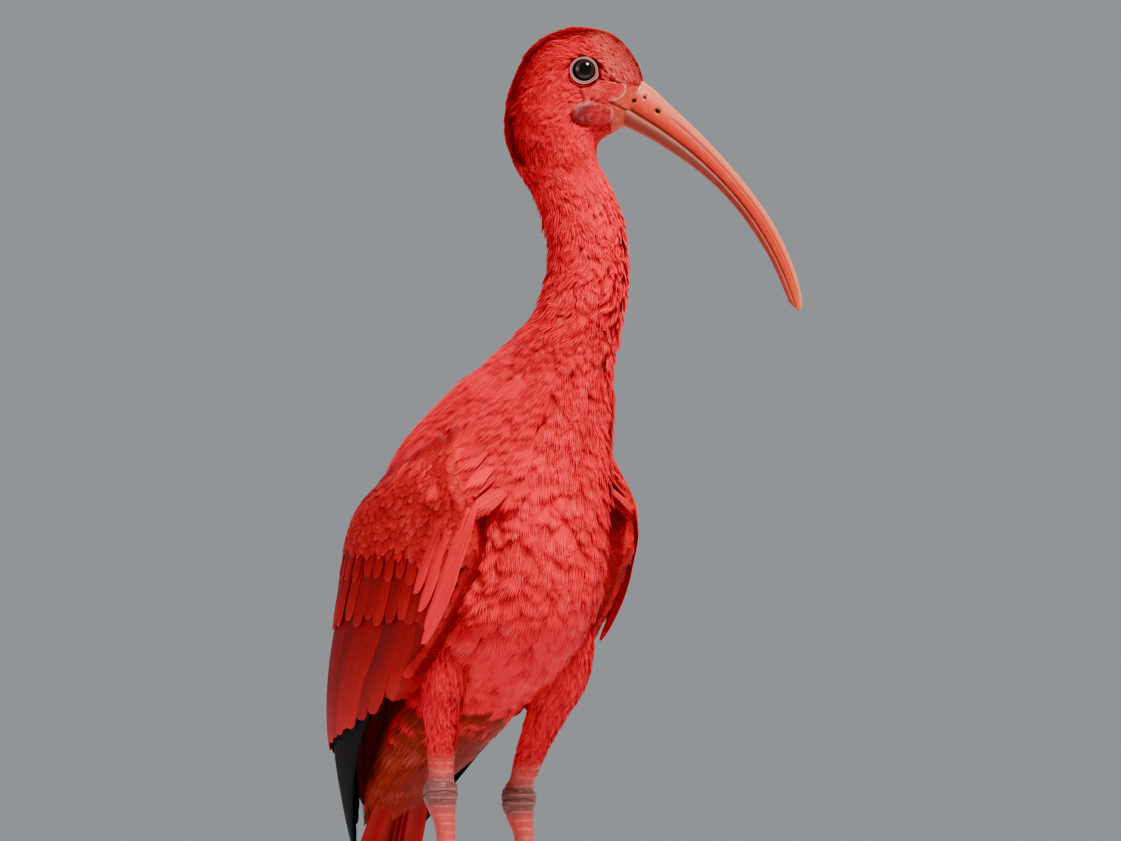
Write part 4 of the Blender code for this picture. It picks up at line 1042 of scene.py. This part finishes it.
class Wing(Form):
    """The shell that the wing's feathers lie on, bent inwards round its front edge and down at its top."""

    def point(self, place, angle, lift=0.0):
        place, angle, lift = np.broadcast_arrays(np.asarray(place, float), angle, lift)
        front, back = wing_edges(place)
        from_front = (np.abs(angle) - front) * MM_IN_DEGREE
        radius = 1.0 + (FRONT_RADIUS - 1.0) * eased((6.6 - place) / 1.8)
        bend = (math.pi / 2 - from_front / radius).clip(0, math.pi / 2)
        over = np.maximum(from_front - radius * math.pi / 2, 0) + radius * (1 - np.sin(bend))
        drop = radius * (1 - np.cos(bend)) + np.maximum(-from_front, 0)
        across = ((np.abs(angle) - front) / (back - front)).clip(0, 1)
        drop = drop + 6.0 * (1 - (place - wing_top(across)) / 1.1).clip(0, 1) ** 2
        return super().point(place, np.sign(angle) * (front + over / MM_IN_DEGREE), lift - drop)


wing_form = Wing(WING_SHELL, squareness=3.0)
wing_shell = Form(WING_SHELL, squareness=3.0)


def grid_of(columns, rows, closed=True):
    """A flat closed or open sheet, across from -1 to 1 and along from 0 to 1, and its lower points."""
    bm = bmesh.new()
    bmesh.ops.create_grid(bm, x_segments=columns, y_segments=rows, size=1.0)
    under = set()
    if closed:
        made = bmesh.ops.extrude_face_region(bm, geom=bm.faces[:])["geom"]
        under = {item for item in made if isinstance(item, bmesh.types.BMVert)}
    for vert in bm.verts:
        vert.co = (vert.co.x, (vert.co.y + 1) / 2, -1.0 if vert in under else 0.0)
    return bm


def vane(columns, rows, seed, tip_from=0.80, narrow=0.0, thickness=0.05, splits=3, camber=0.13):
    """One firm feather: its root narrow, its tip rounded or narrowed, its edge split in a few places."""
    bm = grid_of(columns, rows)
    rng = np.random.default_rng(seed)
    cuts = [(rng.uniform(0.3, 0.95), rng.choice((-1, 1)), rng.uniform(0.05, 0.16)) for _ in range(splits)]
    for vert in bm.verts:
        side, share, under = vert.co
        along = 1 - (1 - share) ** 1.6
        end = max(0.0, (along - tip_from) / (1 - tip_from))
        half = min(1.0, 0.42 + 2.6 * along) * (1 - narrow * max(0.0, (along - 0.45) / 0.55) ** 1.3)
        half *= math.sqrt(max(0.0, 1 - end**2.2)) * 0.96 + 0.04
        for at, cut_side, depth in cuts:
            if side * cut_side > 0.6:
                half *= 1 - depth * max(0.0, 1 - abs(along - at) / 0.035)
        shaft = 0.035 * max(0.0, 1 - abs(side) * 8) * (1 - along)
        thin = thickness * (1 - 0.7 * abs(side) ** 3) * (1 - 0.5 * along)
        vert.co = (side * half, along, shaft - camber * side * side + under * thin)
    bmesh.ops.recalc_face_normals(bm, faces=bm.faces)
    if bm.calc_volume(signed=True) < 0:
        bmesh.ops.reverse_faces(bm, faces=bm.faces)
    return as_arrays(bm)


def tier(name, form, sign, count, roots, tips, half_width, lifts, feather, finish, apart, seed,
         step=0.5, sunk=2.4, uneven=0.10):
    """A row of overlapping feathers from the wing's front edge to its back."""
    rng = np.random.default_rng(seed)
    share = np.linspace(0, 1, count)
    root, tip = (Form(rows).row(share * (len(rows) - 1)) for rows in (roots, tips))
    tip = tip + rng.normal(0, 1, tip.shape) * (uneven, 0.9)
    size = half_width * rng.uniform(0.94, 1.06, count)
    points = laid(form, sign, root, tip, size, lifts, feather, step / apart, sunk)
    bake = np.stack([0.03 + 0.94 * (share + 0.5 / count) / (1 + 1 / count), 0 * share + 0.5], -1)
    return plumage(name, finish, sign, feather, points, bake, seed, (0.9 / count, 0.9))


def shield(sign):
    """The skin and bone under the wing's feathers."""
    bm = grid_of(44, 40)
    flat = np.array([vert.co for vert in bm.verts])
    across, share, under = (flat[:, 0] + 1) / 2, flat[:, 1], flat[:, 2] < -0.5
    place = wing_top(across) + share * (SHIELD_END - wing_top(across))
    front, back = wing_edges(place)
    angle = front - FRONT_WALL * (1 - share) + (back - front + FRONT_WALL * (1 - share)) * (0.99 * across)
    step = np.interp(place, range(8), WING_STEPS)
    rim = np.minimum.reduce([12 * (1 - across), 14 * share, 8 * (1 - share), 1 + 0 * share])
    depth = 1.0 + step + 1.0 * (1 - rim) + np.where(under, 1.4, 0.0)
    for vert, point in zip(bm.verts, wing_form.point(place, angle * sign, -depth)):
        vert.co = point
    bmesh.ops.recalc_face_normals(bm, faces=bm.faces)
    if bm.calc_volume(signed=True) < 0:
        bmesh.ops.reverse_faces(bm, faces=bm.faces)
    return bm


# The wing and tail feathers are painted a deeper red than the body's, partly as shade on the folded wings; the lesser
# coverts near the wrist get less of that painted shade.
wing_finish = feather_finish(
    "wing_feather_red_deepened_by_painted_shade", ("#6E0006", "#AE020C", "#D83A34"), (90.0, 3.0), barb_slope=0.55, relief=0.35,
    roughness=0.5, edge=0.25, patchy=0.25, painted_tip_light=0.08, painted_shade=0.2)
covert_finish = feather_finish(
    "covert_red_deepened_by_painted_shade", ("#6E0006", "#B4020B", "#DC4038"), (60.0, 3.0), barb_slope=0.5, relief=0.35,
    roughness=0.5, edge=0.1, patchy=0.3, painted_tip_light=0.12, painted_shade=0.2)
lesser_finish = feather_finish(
    "lesser_covert_red_deepened_by_painted_shade", ("#78000A", "#C20512", "#E44A42"), (60.0, 3.0), barb_slope=0.5, relief=0.35,
    roughness=0.5, edge=0.1, patchy=0.3, painted_tip_light=0.15, painted_shade=0.15)
# The primaries are black, for their real black tips and as painted shade in the gap between the wing and the
# undertail.
black_finish = feather_finish(
    "black_primary_tip_and_painted_gap_shade", ("#1A0406", "#080405", "#050304"), (90.0, 3.0), barb_slope=0.6, relief=0.35,
    roughness=0.7, edge=0.0, patchy=0.1)
flight, covert, soft_covert = vane(8, 16, 31), vane(8, 12, 32), vane(6, 8, 33, tip_from=0.6, splits=2)
pointed = vane(6, 16, 34, tip_from=0.9, narrow=0.55)
lappet = vane(8, 14, 36, tip_from=0.86, narrow=0.4, camber=0.3)
for sign, side in ((1, "left"), (-1, "right")):
    def row(part, count, roots, tips, half_width, lifts, feather, finish, apart, seed, **others):
        return tier(f"{side}_{part}", wing_form, sign, count, roots, tips, half_width, lifts, feather, finish,
                    apart, seed, **others)

    made = made_of(f"{side}_wing_shield", shield(sign), covert_finish)
    fixed(made, "feather", "wing_" + side)
    row("primaries", 9, [(5.5, 84), (5.7, 118), (5.6, 150)],
        [(11.2, 126), (11.9, 133), (11.2, 143), (10.4, 152), (9.6, 162)], 5.6, (-5.4, -2.2), pointed,
        black_finish, 5, 41, uneven=0.03)
    row("secondaries", 15, [(3.9, 72), (4.0, 112), (4.1, 154)],
        [(6.25, 60), (7.1, 98), (7.6, 125), (8.0, 148)], 7.2, (-1.6, -1.2), flight, wing_finish, 6, 42)
    row("tertials", 6, [(3.3, 156), (3.1, 175)], [(8.3, 156), (9.0, 167), (9.4, 179)], 8.0, (-0.4, 0.3),
        flight, wing_finish, 7, 43, uneven=0.05)
    row("greater_coverts", 15, [(2.9, 74), (3.0, 112), (3.2, 157)], [(4.5, 70), (4.8, 112), (5.2, 160)],
        5.8, (-0.6, 0.2), covert, wing_finish, 6, 44)
    row("median_coverts", 15, [(2.5, 70), (2.6, 112), (2.8, 150)], [(3.7, 66), (3.9, 112), (4.2, 155)],
        4.9, (0.0, 0.7), covert, covert_finish, 6, 45)
    row("upper_median_coverts", 16, [(2.05, 69), (2.15, 112), (2.4, 148)], [(3.15, 64), (3.35, 112), (3.6, 152)],
        4.5, (0.3, 0.9), covert, covert_finish, 5.6, 46)
    tier(side + "_front_coverts", wing_shell, sign, 4, [(2.0, 55), (2.1, 60), (2.0, 67)],
         [(5.05, 62), (4.6, 67), (4.0, 74)], 4.6, (1.2, 2.2), lappet, down_finish, 6, 47, sunk=3.0, uneven=0.05)
    place, angle = scattered(wing_form, (0.4, 6.2), (36, 170), lambda place: 3.3 + 0 * place, 48)
    front, back = wing_edges(place)
    across = (angle - front) / (back - front)
    low_edge = np.where(angle - front < 3, 5.3, 2.9)
    keep = (across > -0.15) & (across < 1) & (place > wing_top(across.clip(0, 1)) - 0.15 - 0.25 * (across > 0.12)) & (place < low_edge)
    place, angle, front, across = (values[keep] for values in (place, angle, front, across))
    rng = np.random.default_rng(49)
    tip = np.stack([place + rng.uniform(0.48, 0.62, len(place)), angle + rng.normal(0, 1.2, len(place))], -1)
    tip[:, 1] += (wing_edges(tip[:, 0])[0] - front) * (1 - across / 0.3).clip(0, 1)
    points = laid(wing_form, sign, np.stack([place, angle], -1), tip, rng.uniform(2.9, 3.7, len(place)),
                  (0.1, 1.5), soft_covert, 0.06, 1.2)
    bake = unwrapped(place, angle, (0.4, 6.2), (36, 170))
    plumage(f"{side}_lesser_coverts", lesser_finish, sign, soft_covert, points, bake, 50, (0.03, 0.05))

# The mantle. Long soft feathers grow from the shoulders and lie down to the upper edges of the folded wings,
# so that no gap shows where a wing comes out of the body's plumage.
def out_to_wing(place, angle):
    """How far out from the body the wing's outer side is, in millimetres, or 3 where there is none."""
    here, away = trunk.point(place, angle), trunk.point(place, angle, 45.0)
    found = []
    for start, end in zip(away, here):
        way = (Vector(end) - Vector(start)).normalized()
        hits = [wing.ray_cast(Vector(start), way, 0.045) for wing in wing_faces]
        found.append(max((45 - hit[3] / MM for hit in hits if hit[0]), default=3.0))
    return np.array(found)


MANTLE_END = ((46, 60, 75, 90, 120, 145, 165, 180), (19.6, 20.1, 19.7, 19.3, 19.25, 19.6, 21.6, 22.2))
mantle_feather = fan(15, 4, 17, camber=0.28, taper=6, ragged=0.2)
for sign, side in ((1, "left"), (-1, "right")):
    place, angle = scattered(trunk, (16.4, 22.2), (44, 180), lambda place: 3.7 + 0 * place, 61)
    keep = place < np.interp(angle, *MANTLE_END) - 0.6
    root = np.stack([place, angle], -1)[keep]
    rng = np.random.default_rng(62)
    swept = 5 * eased((95 - root[:, 1]) / 30)
    tip = root + np.stack([rng.uniform(0.60, 0.78, len(root)), swept + rng.normal(0, 2.5, len(root))], -1)
    start, end = (out_to_wing(ends[:, 0], sign * ends[:, 1]) for ends in (root, tip))
    lifts = (start + 0.6 - 4.0 * (start < 3.1), end + 1.8 + 1.0 * rng.random(len(root)) - 1.2 * (end < 3.1))
    points = laid(trunk, sign, root, tip, rng.uniform(4.4, 5.6, len(root)), lifts, mantle_feather, 0.05, 1.0)
    bake = unwrapped(root[:, 0], root[:, 1], (16.4, 22.2), (44, 180))
    plumage(side + "_mantle", down_finish, sign, mantle_feather, points, bake, 63)

# Twelve tail feathers lie as a closed fan over the undertail coverts, the middle pair on top.
TAIL_ROOT = (0.0, -128.0, 118.0)
TAIL_LENGTH = 93.0
TAIL_SLOPE = math.radians(66.6)


class TailFan(Form):
    """The sloping plane of the tail: place is millimetres down it, angle is millimetres to its left."""

    def __init__(self):
        self.down, self.back = math.sin(TAIL_SLOPE), math.cos(TAIL_SLOPE)

    def slopes(self, place, angle):
        down, left = np.array([0.0, self.back, -self.down]), np.array([1.0, 0.0, 0.0])
        return tuple(np.broadcast_to(way, (*np.shape(place), 3)) for way in (down, left))

    def point(self, place, angle, lift=0.0):
        run, sideways, lift = np.broadcast_arrays(np.asarray(place, float), angle, lift)
        back = -TAIL_ROOT[1] + self.back * run + self.down * lift
        up = TAIL_ROOT[2] - self.down * run + self.back * lift
        return np.stack([sideways, back, up], -1) * MM + np.array(ORIGIN)


numbers = np.arange(12) - 5.5
out = np.abs(numbers)
root = np.stack([0 * numbers - 24, numbers * 1.1], -1)
tip = np.stack([TAIL_LENGTH - 1.4 * out, numbers * 3.4], -1)
lifts = (-out * 1.2 - 0.2 + 0.4 * (numbers > 0), -out * 1.35 + 0.2 + 0.4 * (numbers > 0))
tail_feather = vane(8, 16, 35, tip_from=0.84)
points = laid(TailFan(), 1, root, tip, np.full(12, 6.8), lifts, tail_feather)
bake = np.stack([(np.arange(12) + 0.5) / 12, np.full(12, 0.5)], -1)
plumage("tail_feathers", wing_finish, -1, tail_feather, points, bake, 51, (0.075, 0.9))

# The bill is horn in two halves that meet along a mouth line dark with painted shade. A groove runs
# down each side of the upper half from the nostrils to the tip, and the lower half is worn and greyer.
BILL_LENGTH = 142.0
BILL_ROOT = (27.6, -19.6)
BILL_SUNK = 0.07
BILL_SIZES = Form([
    (12.6, 8.4, -3.4), (10.4, 6.9, -2.6), (8.8, 5.7, -2.2), (7.4, 4.9, -2.0), (6.4, 4.3, -1.9),
    (5.9, 4.0, -1.8), (5.6, 3.7, -1.8), (5.0, 3.3, -1.6), (4.4, 2.8, -1.2), (3.2, 2.0, -0.5),
])
NOSTRILS = [(26.6, -16.6, 1.15), (39.0, -22.4, 1.2), (32.2, -15.2, 0.7)]
BILL_SEGMENTS, BILL_RINGS = 64, 300


def droop(share):
    """How far the bill points below the level, in radians, at a share of its length."""
    return np.radians(34.6 + 43.4 * np.maximum(share, 0.0) ** 1.5)


def bill_line(share):
    """The middle of the bill in the head's own plane, ahead of the eye and above it."""
    steps = np.linspace(-BILL_SUNK, 1.0, 600)
    middle, width = (steps[1:] + steps[:-1]) / 2, BILL_LENGTH * (steps[1] - steps[0])
    line = []
    for start, run in zip(BILL_ROOT, (np.cos(droop(middle)), -np.sin(droop(middle)))):
        gone = np.concatenate([[0.0], np.cumsum(run * width)])
        line.append(start + np.interp(share, steps, gone) - np.interp(0.0, steps, gone))
    return line


def half_of_bill(upper, marks):
    """The surface of the upper or lower half. It leaves each point's marks in the list."""
    side = 1 if upper else -1

    def surface(share, angle):
        along = np.clip((share * BILL_RINGS - 1) / (BILL_RINGS - 2), 0, 1)
        along = (along + 0.9 * along**2) / 1.9 * (1 + BILL_SUNK) - BILL_SUNK
        if not upper:
            along = along * 0.985
        half_depth, half_width, line = np.moveaxis(BILL_SIZES.row(along * 9), -1, 0)
        rounding = np.sqrt(1 - ((along / (1.0 if upper else 0.985) - 0.955) / 0.045).clip(0, 0.995) ** 2)
        half_depth, half_width, line = half_depth * rounding, half_width * rounding, line * rounding
        wide, tall = np.cos(np.radians(angle)), np.sin(np.radians(angle)) * side
        rise = tall.clip(0, 1)
        flat = tall < 0
        height = line + side * (0.05 + rise * (half_depth - side * line - 0.05))
        height = height + side * np.where(flat, 0.5 * (1 - np.abs(wide)), 0.0)
        sideways = wide * half_width * (1 - 0.16 * np.exp(-((rise / 0.13) ** 2)))
        fade = eased((0.99 - along) / 0.1)
        if upper:
            groove = np.exp(-(((rise - 0.62) / 0.05) ** 2)) * eased((along - 0.1) / 0.08)
            groove += 0.55 * np.exp(-(((rise - 0.36) / 0.04) ** 2)) * eased((along - 0.34) / 0.2)
            rib = np.exp(-(((rise - 0.50) / 0.06) ** 2)) * eased((along - 0.12) / 0.1)
        else:
            groove = 0.4 * np.exp(-(((rise - 0.42) / 0.06) ** 2)) * eased((along - 0.1) / 0.1)
            rib = np.exp(-(((rise - 0.17) / 0.07) ** 2))
        sideways = sideways * (1 - (0.11 * groove - 0.05 * rib) * fade)
        ends = (share < 1e-6) | (share > 1 - 1e-6)
        sideways = np.where(ends, 0.0, sideways)
        height = np.where(ends, (line + side * half_depth) / 2, height)
        ahead, up = bill_line(along)
        ahead, up = ahead + np.sin(droop(along)) * height, up + np.cos(droop(along)) * height
        pit = 0 * ahead
        if upper:
            for at_ahead, at_up, size in NOSTRILS:
                slope = droop(0.1)
                run = (ahead - at_ahead) * math.cos(slope) - (up - at_up) * math.sin(slope)
                rise_to = (ahead - at_ahead) * math.sin(slope) + (up - at_up) * math.cos(slope)
                pit = np.maximum(pit, eased(2.6 - 2 * np.hypot(run / (size * 1.5), rise_to / size)))
            pit = pit * (np.abs(wide) > 0.3)
        sideways = sideways - np.sign(sideways) * pit * 1.0
        marks[:] = [along, rise, groove * fade, 1 + 0 * pit, ahead, up]
        points = np.array(BETWEEN_EYES) + (
            ahead[:, None] * np.array(HEAD_AHEAD) + up[:, None] * np.array(UP)
            + sideways[:, None] * np.array(HEAD_LEFT)
        ) * MM
        return points
    return surface


def bill_finish(name, along_stops, rise_stops, painted_groove_shade):
    """Horn that is worn in fine lengthwise lines, with painted shade in its grooves, its nostrils and the mouth's gap.
    """
    finish, sockets = finish_named(name, 0.36, Specular_IOR_Level=0.18)
    marks = add(finish, "SeparateColor", {"Color": add(finish, "VertexColor", layer_name="horn")})
    along, rise, groove = marks.node.outputs
    # Painted shade: each nostril's hole is painted nearly black.
    pit = 0.0
    for at_ahead, at_up, size in NOSTRILS:
        here = add(finish, "CombineXYZ", {
            0: add(finish, "Attribute", output="Fac", attribute_name="ahead"),
            1: add(finish, "Attribute", output="Fac", attribute_name="up"),
        })
        offset = add(finish, "VectorMath", {0: here, 1: (at_ahead, at_up, 0.0)}, operation="SUBTRACT")
        turned = add(finish, "VectorRotate", {"Vector": offset, "Angle": float(droop(0.1))}, rotation_type="Z_AXIS")
        oval = add(finish, "VectorMath", {0: turned, 1: (0.72 / size, 1 / size, 0.0)}, operation="MULTIPLY")
        away = add(finish, "VectorMath", {0: oval}, operation="LENGTH", output="Value")
        hole = add(finish, "MapRange", {"Value": away, "From Min": 0.75, "From Max": 1.15, "To Min": 1.0, "To Max": 0.0})
        pit = add(finish, "Math", {0: pit, 1: hole}, operation="MAXIMUM")
    grain = add(finish, "CombineXYZ", {
        0: add(finish, "Math", {0: along, 1: 26.0}, operation="MULTIPLY"),
        1: add(finish, "Math", {0: rise, 1: 16.0}, operation="MULTIPLY"),
    })
    lines = add(finish, "TexNoise", {"Vector": grain, "Scale": 1.0, "Detail": 5.0, "Roughness": 0.6})
    where = add(finish, "TexCoord", output="Object")
    scuffs = add(finish, "TexNoise", {"Vector": where, "Scale": 260.0, "Detail": 6.0, "Roughness": 0.7})
    place = add(finish, "Math", {0: lines, 1: 0.25, 2: along}, operation="MULTIPLY_ADD")
    place = add(finish, "Math", {0: place, 1: 0.125}, operation="SUBTRACT")
    shade = add(finish, "ValToRGB", {"Fac": place}, along_stops)
    height = add(finish, "Math", {0: lines, 1: 0.18, 2: rise}, operation="MULTIPLY_ADD")
    height = add(finish, "Math", {0: height, 1: 0.09}, operation="SUBTRACT")
    # Painted shade: round the side the colour goes near black in the mouth's gap.
    over = add(finish, "ValToRGB", {"Fac": height}, rise_stops)
    shade = add(finish, "Mix", {"Factor": 0.55, "A": shade, "B": over}, data_type="RGBA")
    pale = add(finish, "MapRange", {"Value": scuffs, "From Min": 0.5, "From Max": 0.8, "To Max": 0.15})
    shade = add(finish, "Mix", {"Factor": pale, "A": shade, "B": linear("#D08C74")}, data_type="RGBA")
    # Painted shade in the side grooves.
    depth = add(finish, "Math", {0: groove, 1: 0.75}, operation="MULTIPLY")
    shade = add(finish, "Mix", {"Factor": depth, "A": shade, "B": linear(painted_groove_shade)}, data_type="RGBA")
    shade = add(finish, "Mix", {"Factor": pit, "A": shade, "B": linear("#120606")}, data_type="RGBA")
    join_up(finish, shade, sockets["Base Color"])
    worn = add(finish, "MapRange", {"Value": scuffs, "From Min": 0.3, "From Max": 0.7, "To Min": 0.28, "To Max": 0.5})
    join_up(finish, add(finish, "Math", {0: worn, 1: pit}, operation="MAXIMUM"), sockets["Roughness"])
    bump = add(finish, "Bump", {"Height": lines, "Strength": 0.15, "Distance": 0.0003})
    bump = add(finish, "Bump", {"Height": scuffs, "Strength": 0.08, "Distance": 0.0003, "Normal": bump})
    join_up(finish, bump, sockets["Normal"])
    return finish


upper_horn = bill_finish(
    "salmon_upper_horn", [(0.0, "#CC3420"), (0.35, "#C82814"), (0.8, "#CE361E"), (1.0, "#D86430")],
    [(0.02, "#3A0404"), (0.1, "#A8140A"), (0.45, "#D03A20"), (0.72, "#E46440"), (1.0, "#F4A078")], "#700A04")
lower_horn = bill_finish(
    "greyish_lower_horn", [(0.0, "#8C3428"), (0.22, "#7C4434"), (0.55, "#90181A"), (1.0, "#C83C20")],
    [(0.0, "#2E0806"), (0.1, "#8A3E36"), (0.2, "#C46A5A"), (0.45, "#7E3029"), (1.0, "#C0301E")], "#5E1614")
for name, upper, horn in (("bill_upper", True, upper_horn), ("bill_lower", False, lower_horn)):
    marks = []
    half = made_of("horn_" + name, tube(half_of_bill(upper, marks), BILL_SEGMENTS, BILL_RINGS), horn)
    layer = half.data.color_attributes.new("horn", "FLOAT_COLOR", "POINT")
    layer.data.foreach_set("color", np.stack(marks[:4], -1).clip(0, 1).astype(np.float32).ravel())
    for which, values in (("ahead", marks[4]), ("up", marks[5])):
        half.data.attributes.new(which, "FLOAT", "POINT").data.foreach_set("value", values.astype(np.float32))
    fixed(half, "bill", name)

# The eyes are wet and nearly black, a dark brown iris round a wide pupil. Each sits deep in
# the head, inside a swollen ring of bare pinkish grey skin, which is both lids together.
EYE_RADIUS = 7.4
EYE_DEPTH = 5.8
EYE_FACES_UP = math.radians(10)
EYE_FACES_AHEAD = math.radians(8)
LID_RADIUS = 6.7
LID_FROM_MIDDLE = 16.2


def eye_axes(sign, middle):
    """Axes of one eye: X ahead, Y up and Z the way it looks, which is out, a little up and ahead."""
    looks = HEAD_LEFT * sign + UP * math.tan(EYE_FACES_UP) + HEAD_AHEAD * math.tan(EYE_FACES_AHEAD)
    looks.normalize()
    ahead = (HEAD_AHEAD - looks * HEAD_AHEAD.dot(looks)).normalized()
    axes = Matrix((ahead, looks.cross(ahead), looks)).transposed().to_4x4()
    return Matrix.Translation(middle) @ axes


cornea, sockets = finish_named("wet_dark_eye", 0.05, Specular_IOR_Level=0.3)
from_axis = add(cornea, "Attribute", output="Fac", attribute_name="from_axis")
where = add(cornea, "TexCoord", output="Object")
flecks = add(cornea, "TexNoise", {"Vector": where, "Scale": 900.0, "Detail": 4.0})
place = add(cornea, "Math", {0: flecks, 1: 0.12, 2: from_axis}, operation="MULTIPLY_ADD")
shade = add(cornea, "ValToRGB", {"Fac": place}, [
    (0.44, "#030202"), (0.5, "#1A0D08"), (0.66, "#301A10"), (0.78, "#1C0E0A"), (0.9, "#080404")])
join_up(cornea, shade, sockets["Base Color"])
lid_skin, sockets = finish_named("moist_lid_skin", 0.4, Specular_IOR_Level=0.25)
from_ball = add(lid_skin, "Attribute", output="Fac", attribute_name="from_ball")
where = add(lid_skin, "TexCoord", output="Object")
mottle = add(lid_skin, "TexNoise", {"Vector": where, "Scale": 700.0, "Detail": 4.0})
place = add(lid_skin, "Math", {0: mottle, 1: 0.14, 2: from_ball}, operation="MULTIPLY_ADD")
# Painted shade: the lid skin is nearly black where it meets the eyeball and dark red in the groove along its top,
# between two pale ridges.
shade = add(lid_skin, "ValToRGB", {"Fac": place}, [
    (0.16, "#1A0A0A"), (0.28, "#B07C80"), (0.42, "#8A4A50"), (0.56, "#5A161C"), (0.70, "#8E444A"),
    (0.86, "#B47E80"), (1.0, "#8A1A1E")])
join_up(lid_skin, shade, sockets["Base Color"])
bump = add(lid_skin, "Bump", {"Height": mottle, "Strength": 0.4, "Distance": 0.0003})
join_up(lid_skin, bump, sockets["Normal"])


def lids(angle, round_tube):
    """The ring of both lids: thicker below, drawn out into a corner at the front, finely creased."""
    front = eased(1 - np.abs((angle + 24 + 180) % 360 - 180) / 30)
    below = eased(-np.sin(np.radians(angle)))
    radius = LID_RADIUS + 0.1 * below + 0.5 * front
    thick = 0.80 + 0.15 * below + 0.3 * front
    turned = np.radians(round_tube)
    out, rise = np.cos(turned), np.sin(turned)
    crease = 0.03 * np.sin(np.radians(angle) * 37 + 2 * np.sin(np.radians(angle) * 5)) * (out > 0.2)
    thick = thick + crease - 0.5 * np.exp(-(((round_tube - 86) / 18) ** 2))
    reach = radius + thick * out * np.where(out > 0, 1.1, 0.9)
    x, y = np.cos(np.radians(angle)) * reach, np.sin(np.radians(angle)) * reach * 0.97
    return np.stack([x, y, thick * rise - 0.25 * front], -1)


for sign, side in ((1, "left"), (-1, "right")):
    bm = bmesh.new()
    bmesh.ops.create_uvsphere(bm, u_segments=48, v_segments=32, radius=1.0)
    away = [math.hypot(vert.co.x, vert.co.y) if vert.co.z > 0 else 1.0 for vert in bm.verts]
    shift = (HEAD_AHEAD * EYE_SHIFT[0] + UP * EYE_SHIFT[1]) * MM
    bm.transform(eye_axes(sign, eye_places[sign] + shift) @ Matrix.Diagonal((EYE_RADIUS * MM, EYE_RADIUS * MM, EYE_DEPTH * MM, 1)))
    ball = made_of("eyeball_" + side, bm, cornea)
    ball.data.attributes.new("from_axis", "FLOAT", "POINT").data.foreach_set("value", away)
    fixed(ball, "eye", "eye_" + side)
    bm = bmesh.new()
    section = bmesh.ops.create_circle(bm, segments=20, radius=0.1)["verts"]
    bmesh.ops.rotate(bm, verts=section, cent=(0, 0, 0), matrix=Matrix.Rotation(math.radians(90), 3, "X"))
    bmesh.ops.translate(bm, verts=section, vec=(1, 0, 0))
    bmesh.ops.spin(bm, geom=bm.verts[:] + bm.edges[:], cent=(0, 0, 0), axis=(0, 0, 1),
                   angle=math.tau, steps=144, use_merge=True)
    flat = np.array([vert.co for vert in bm.verts])
    angle = np.degrees(np.arctan2(flat[:, 1], flat[:, 0]))
    round_tube = np.degrees(np.arctan2(flat[:, 2], np.hypot(flat[:, 0], flat[:, 1]) - 1))
    for vert, point in zip(bm.verts, lids(angle, round_tube) * MM):
        vert.co = point
    middle = BETWEEN_EYES + HEAD_LEFT * sign * LID_FROM_MIDDLE * MM + shift
    bm.transform(eye_axes(sign, middle))
    bmesh.ops.recalc_face_normals(bm, faces=bm.faces)
    ring = made_of("lids_" + side, bm, lid_skin)
    outward = (np.cos(np.radians(round_tube)) + 1) / 2
    ring.data.attributes.new("from_ball", "FLOAT", "POINT").data.foreach_set("value", outward.astype(np.float32))
    fixed(ring, "leg_skin")
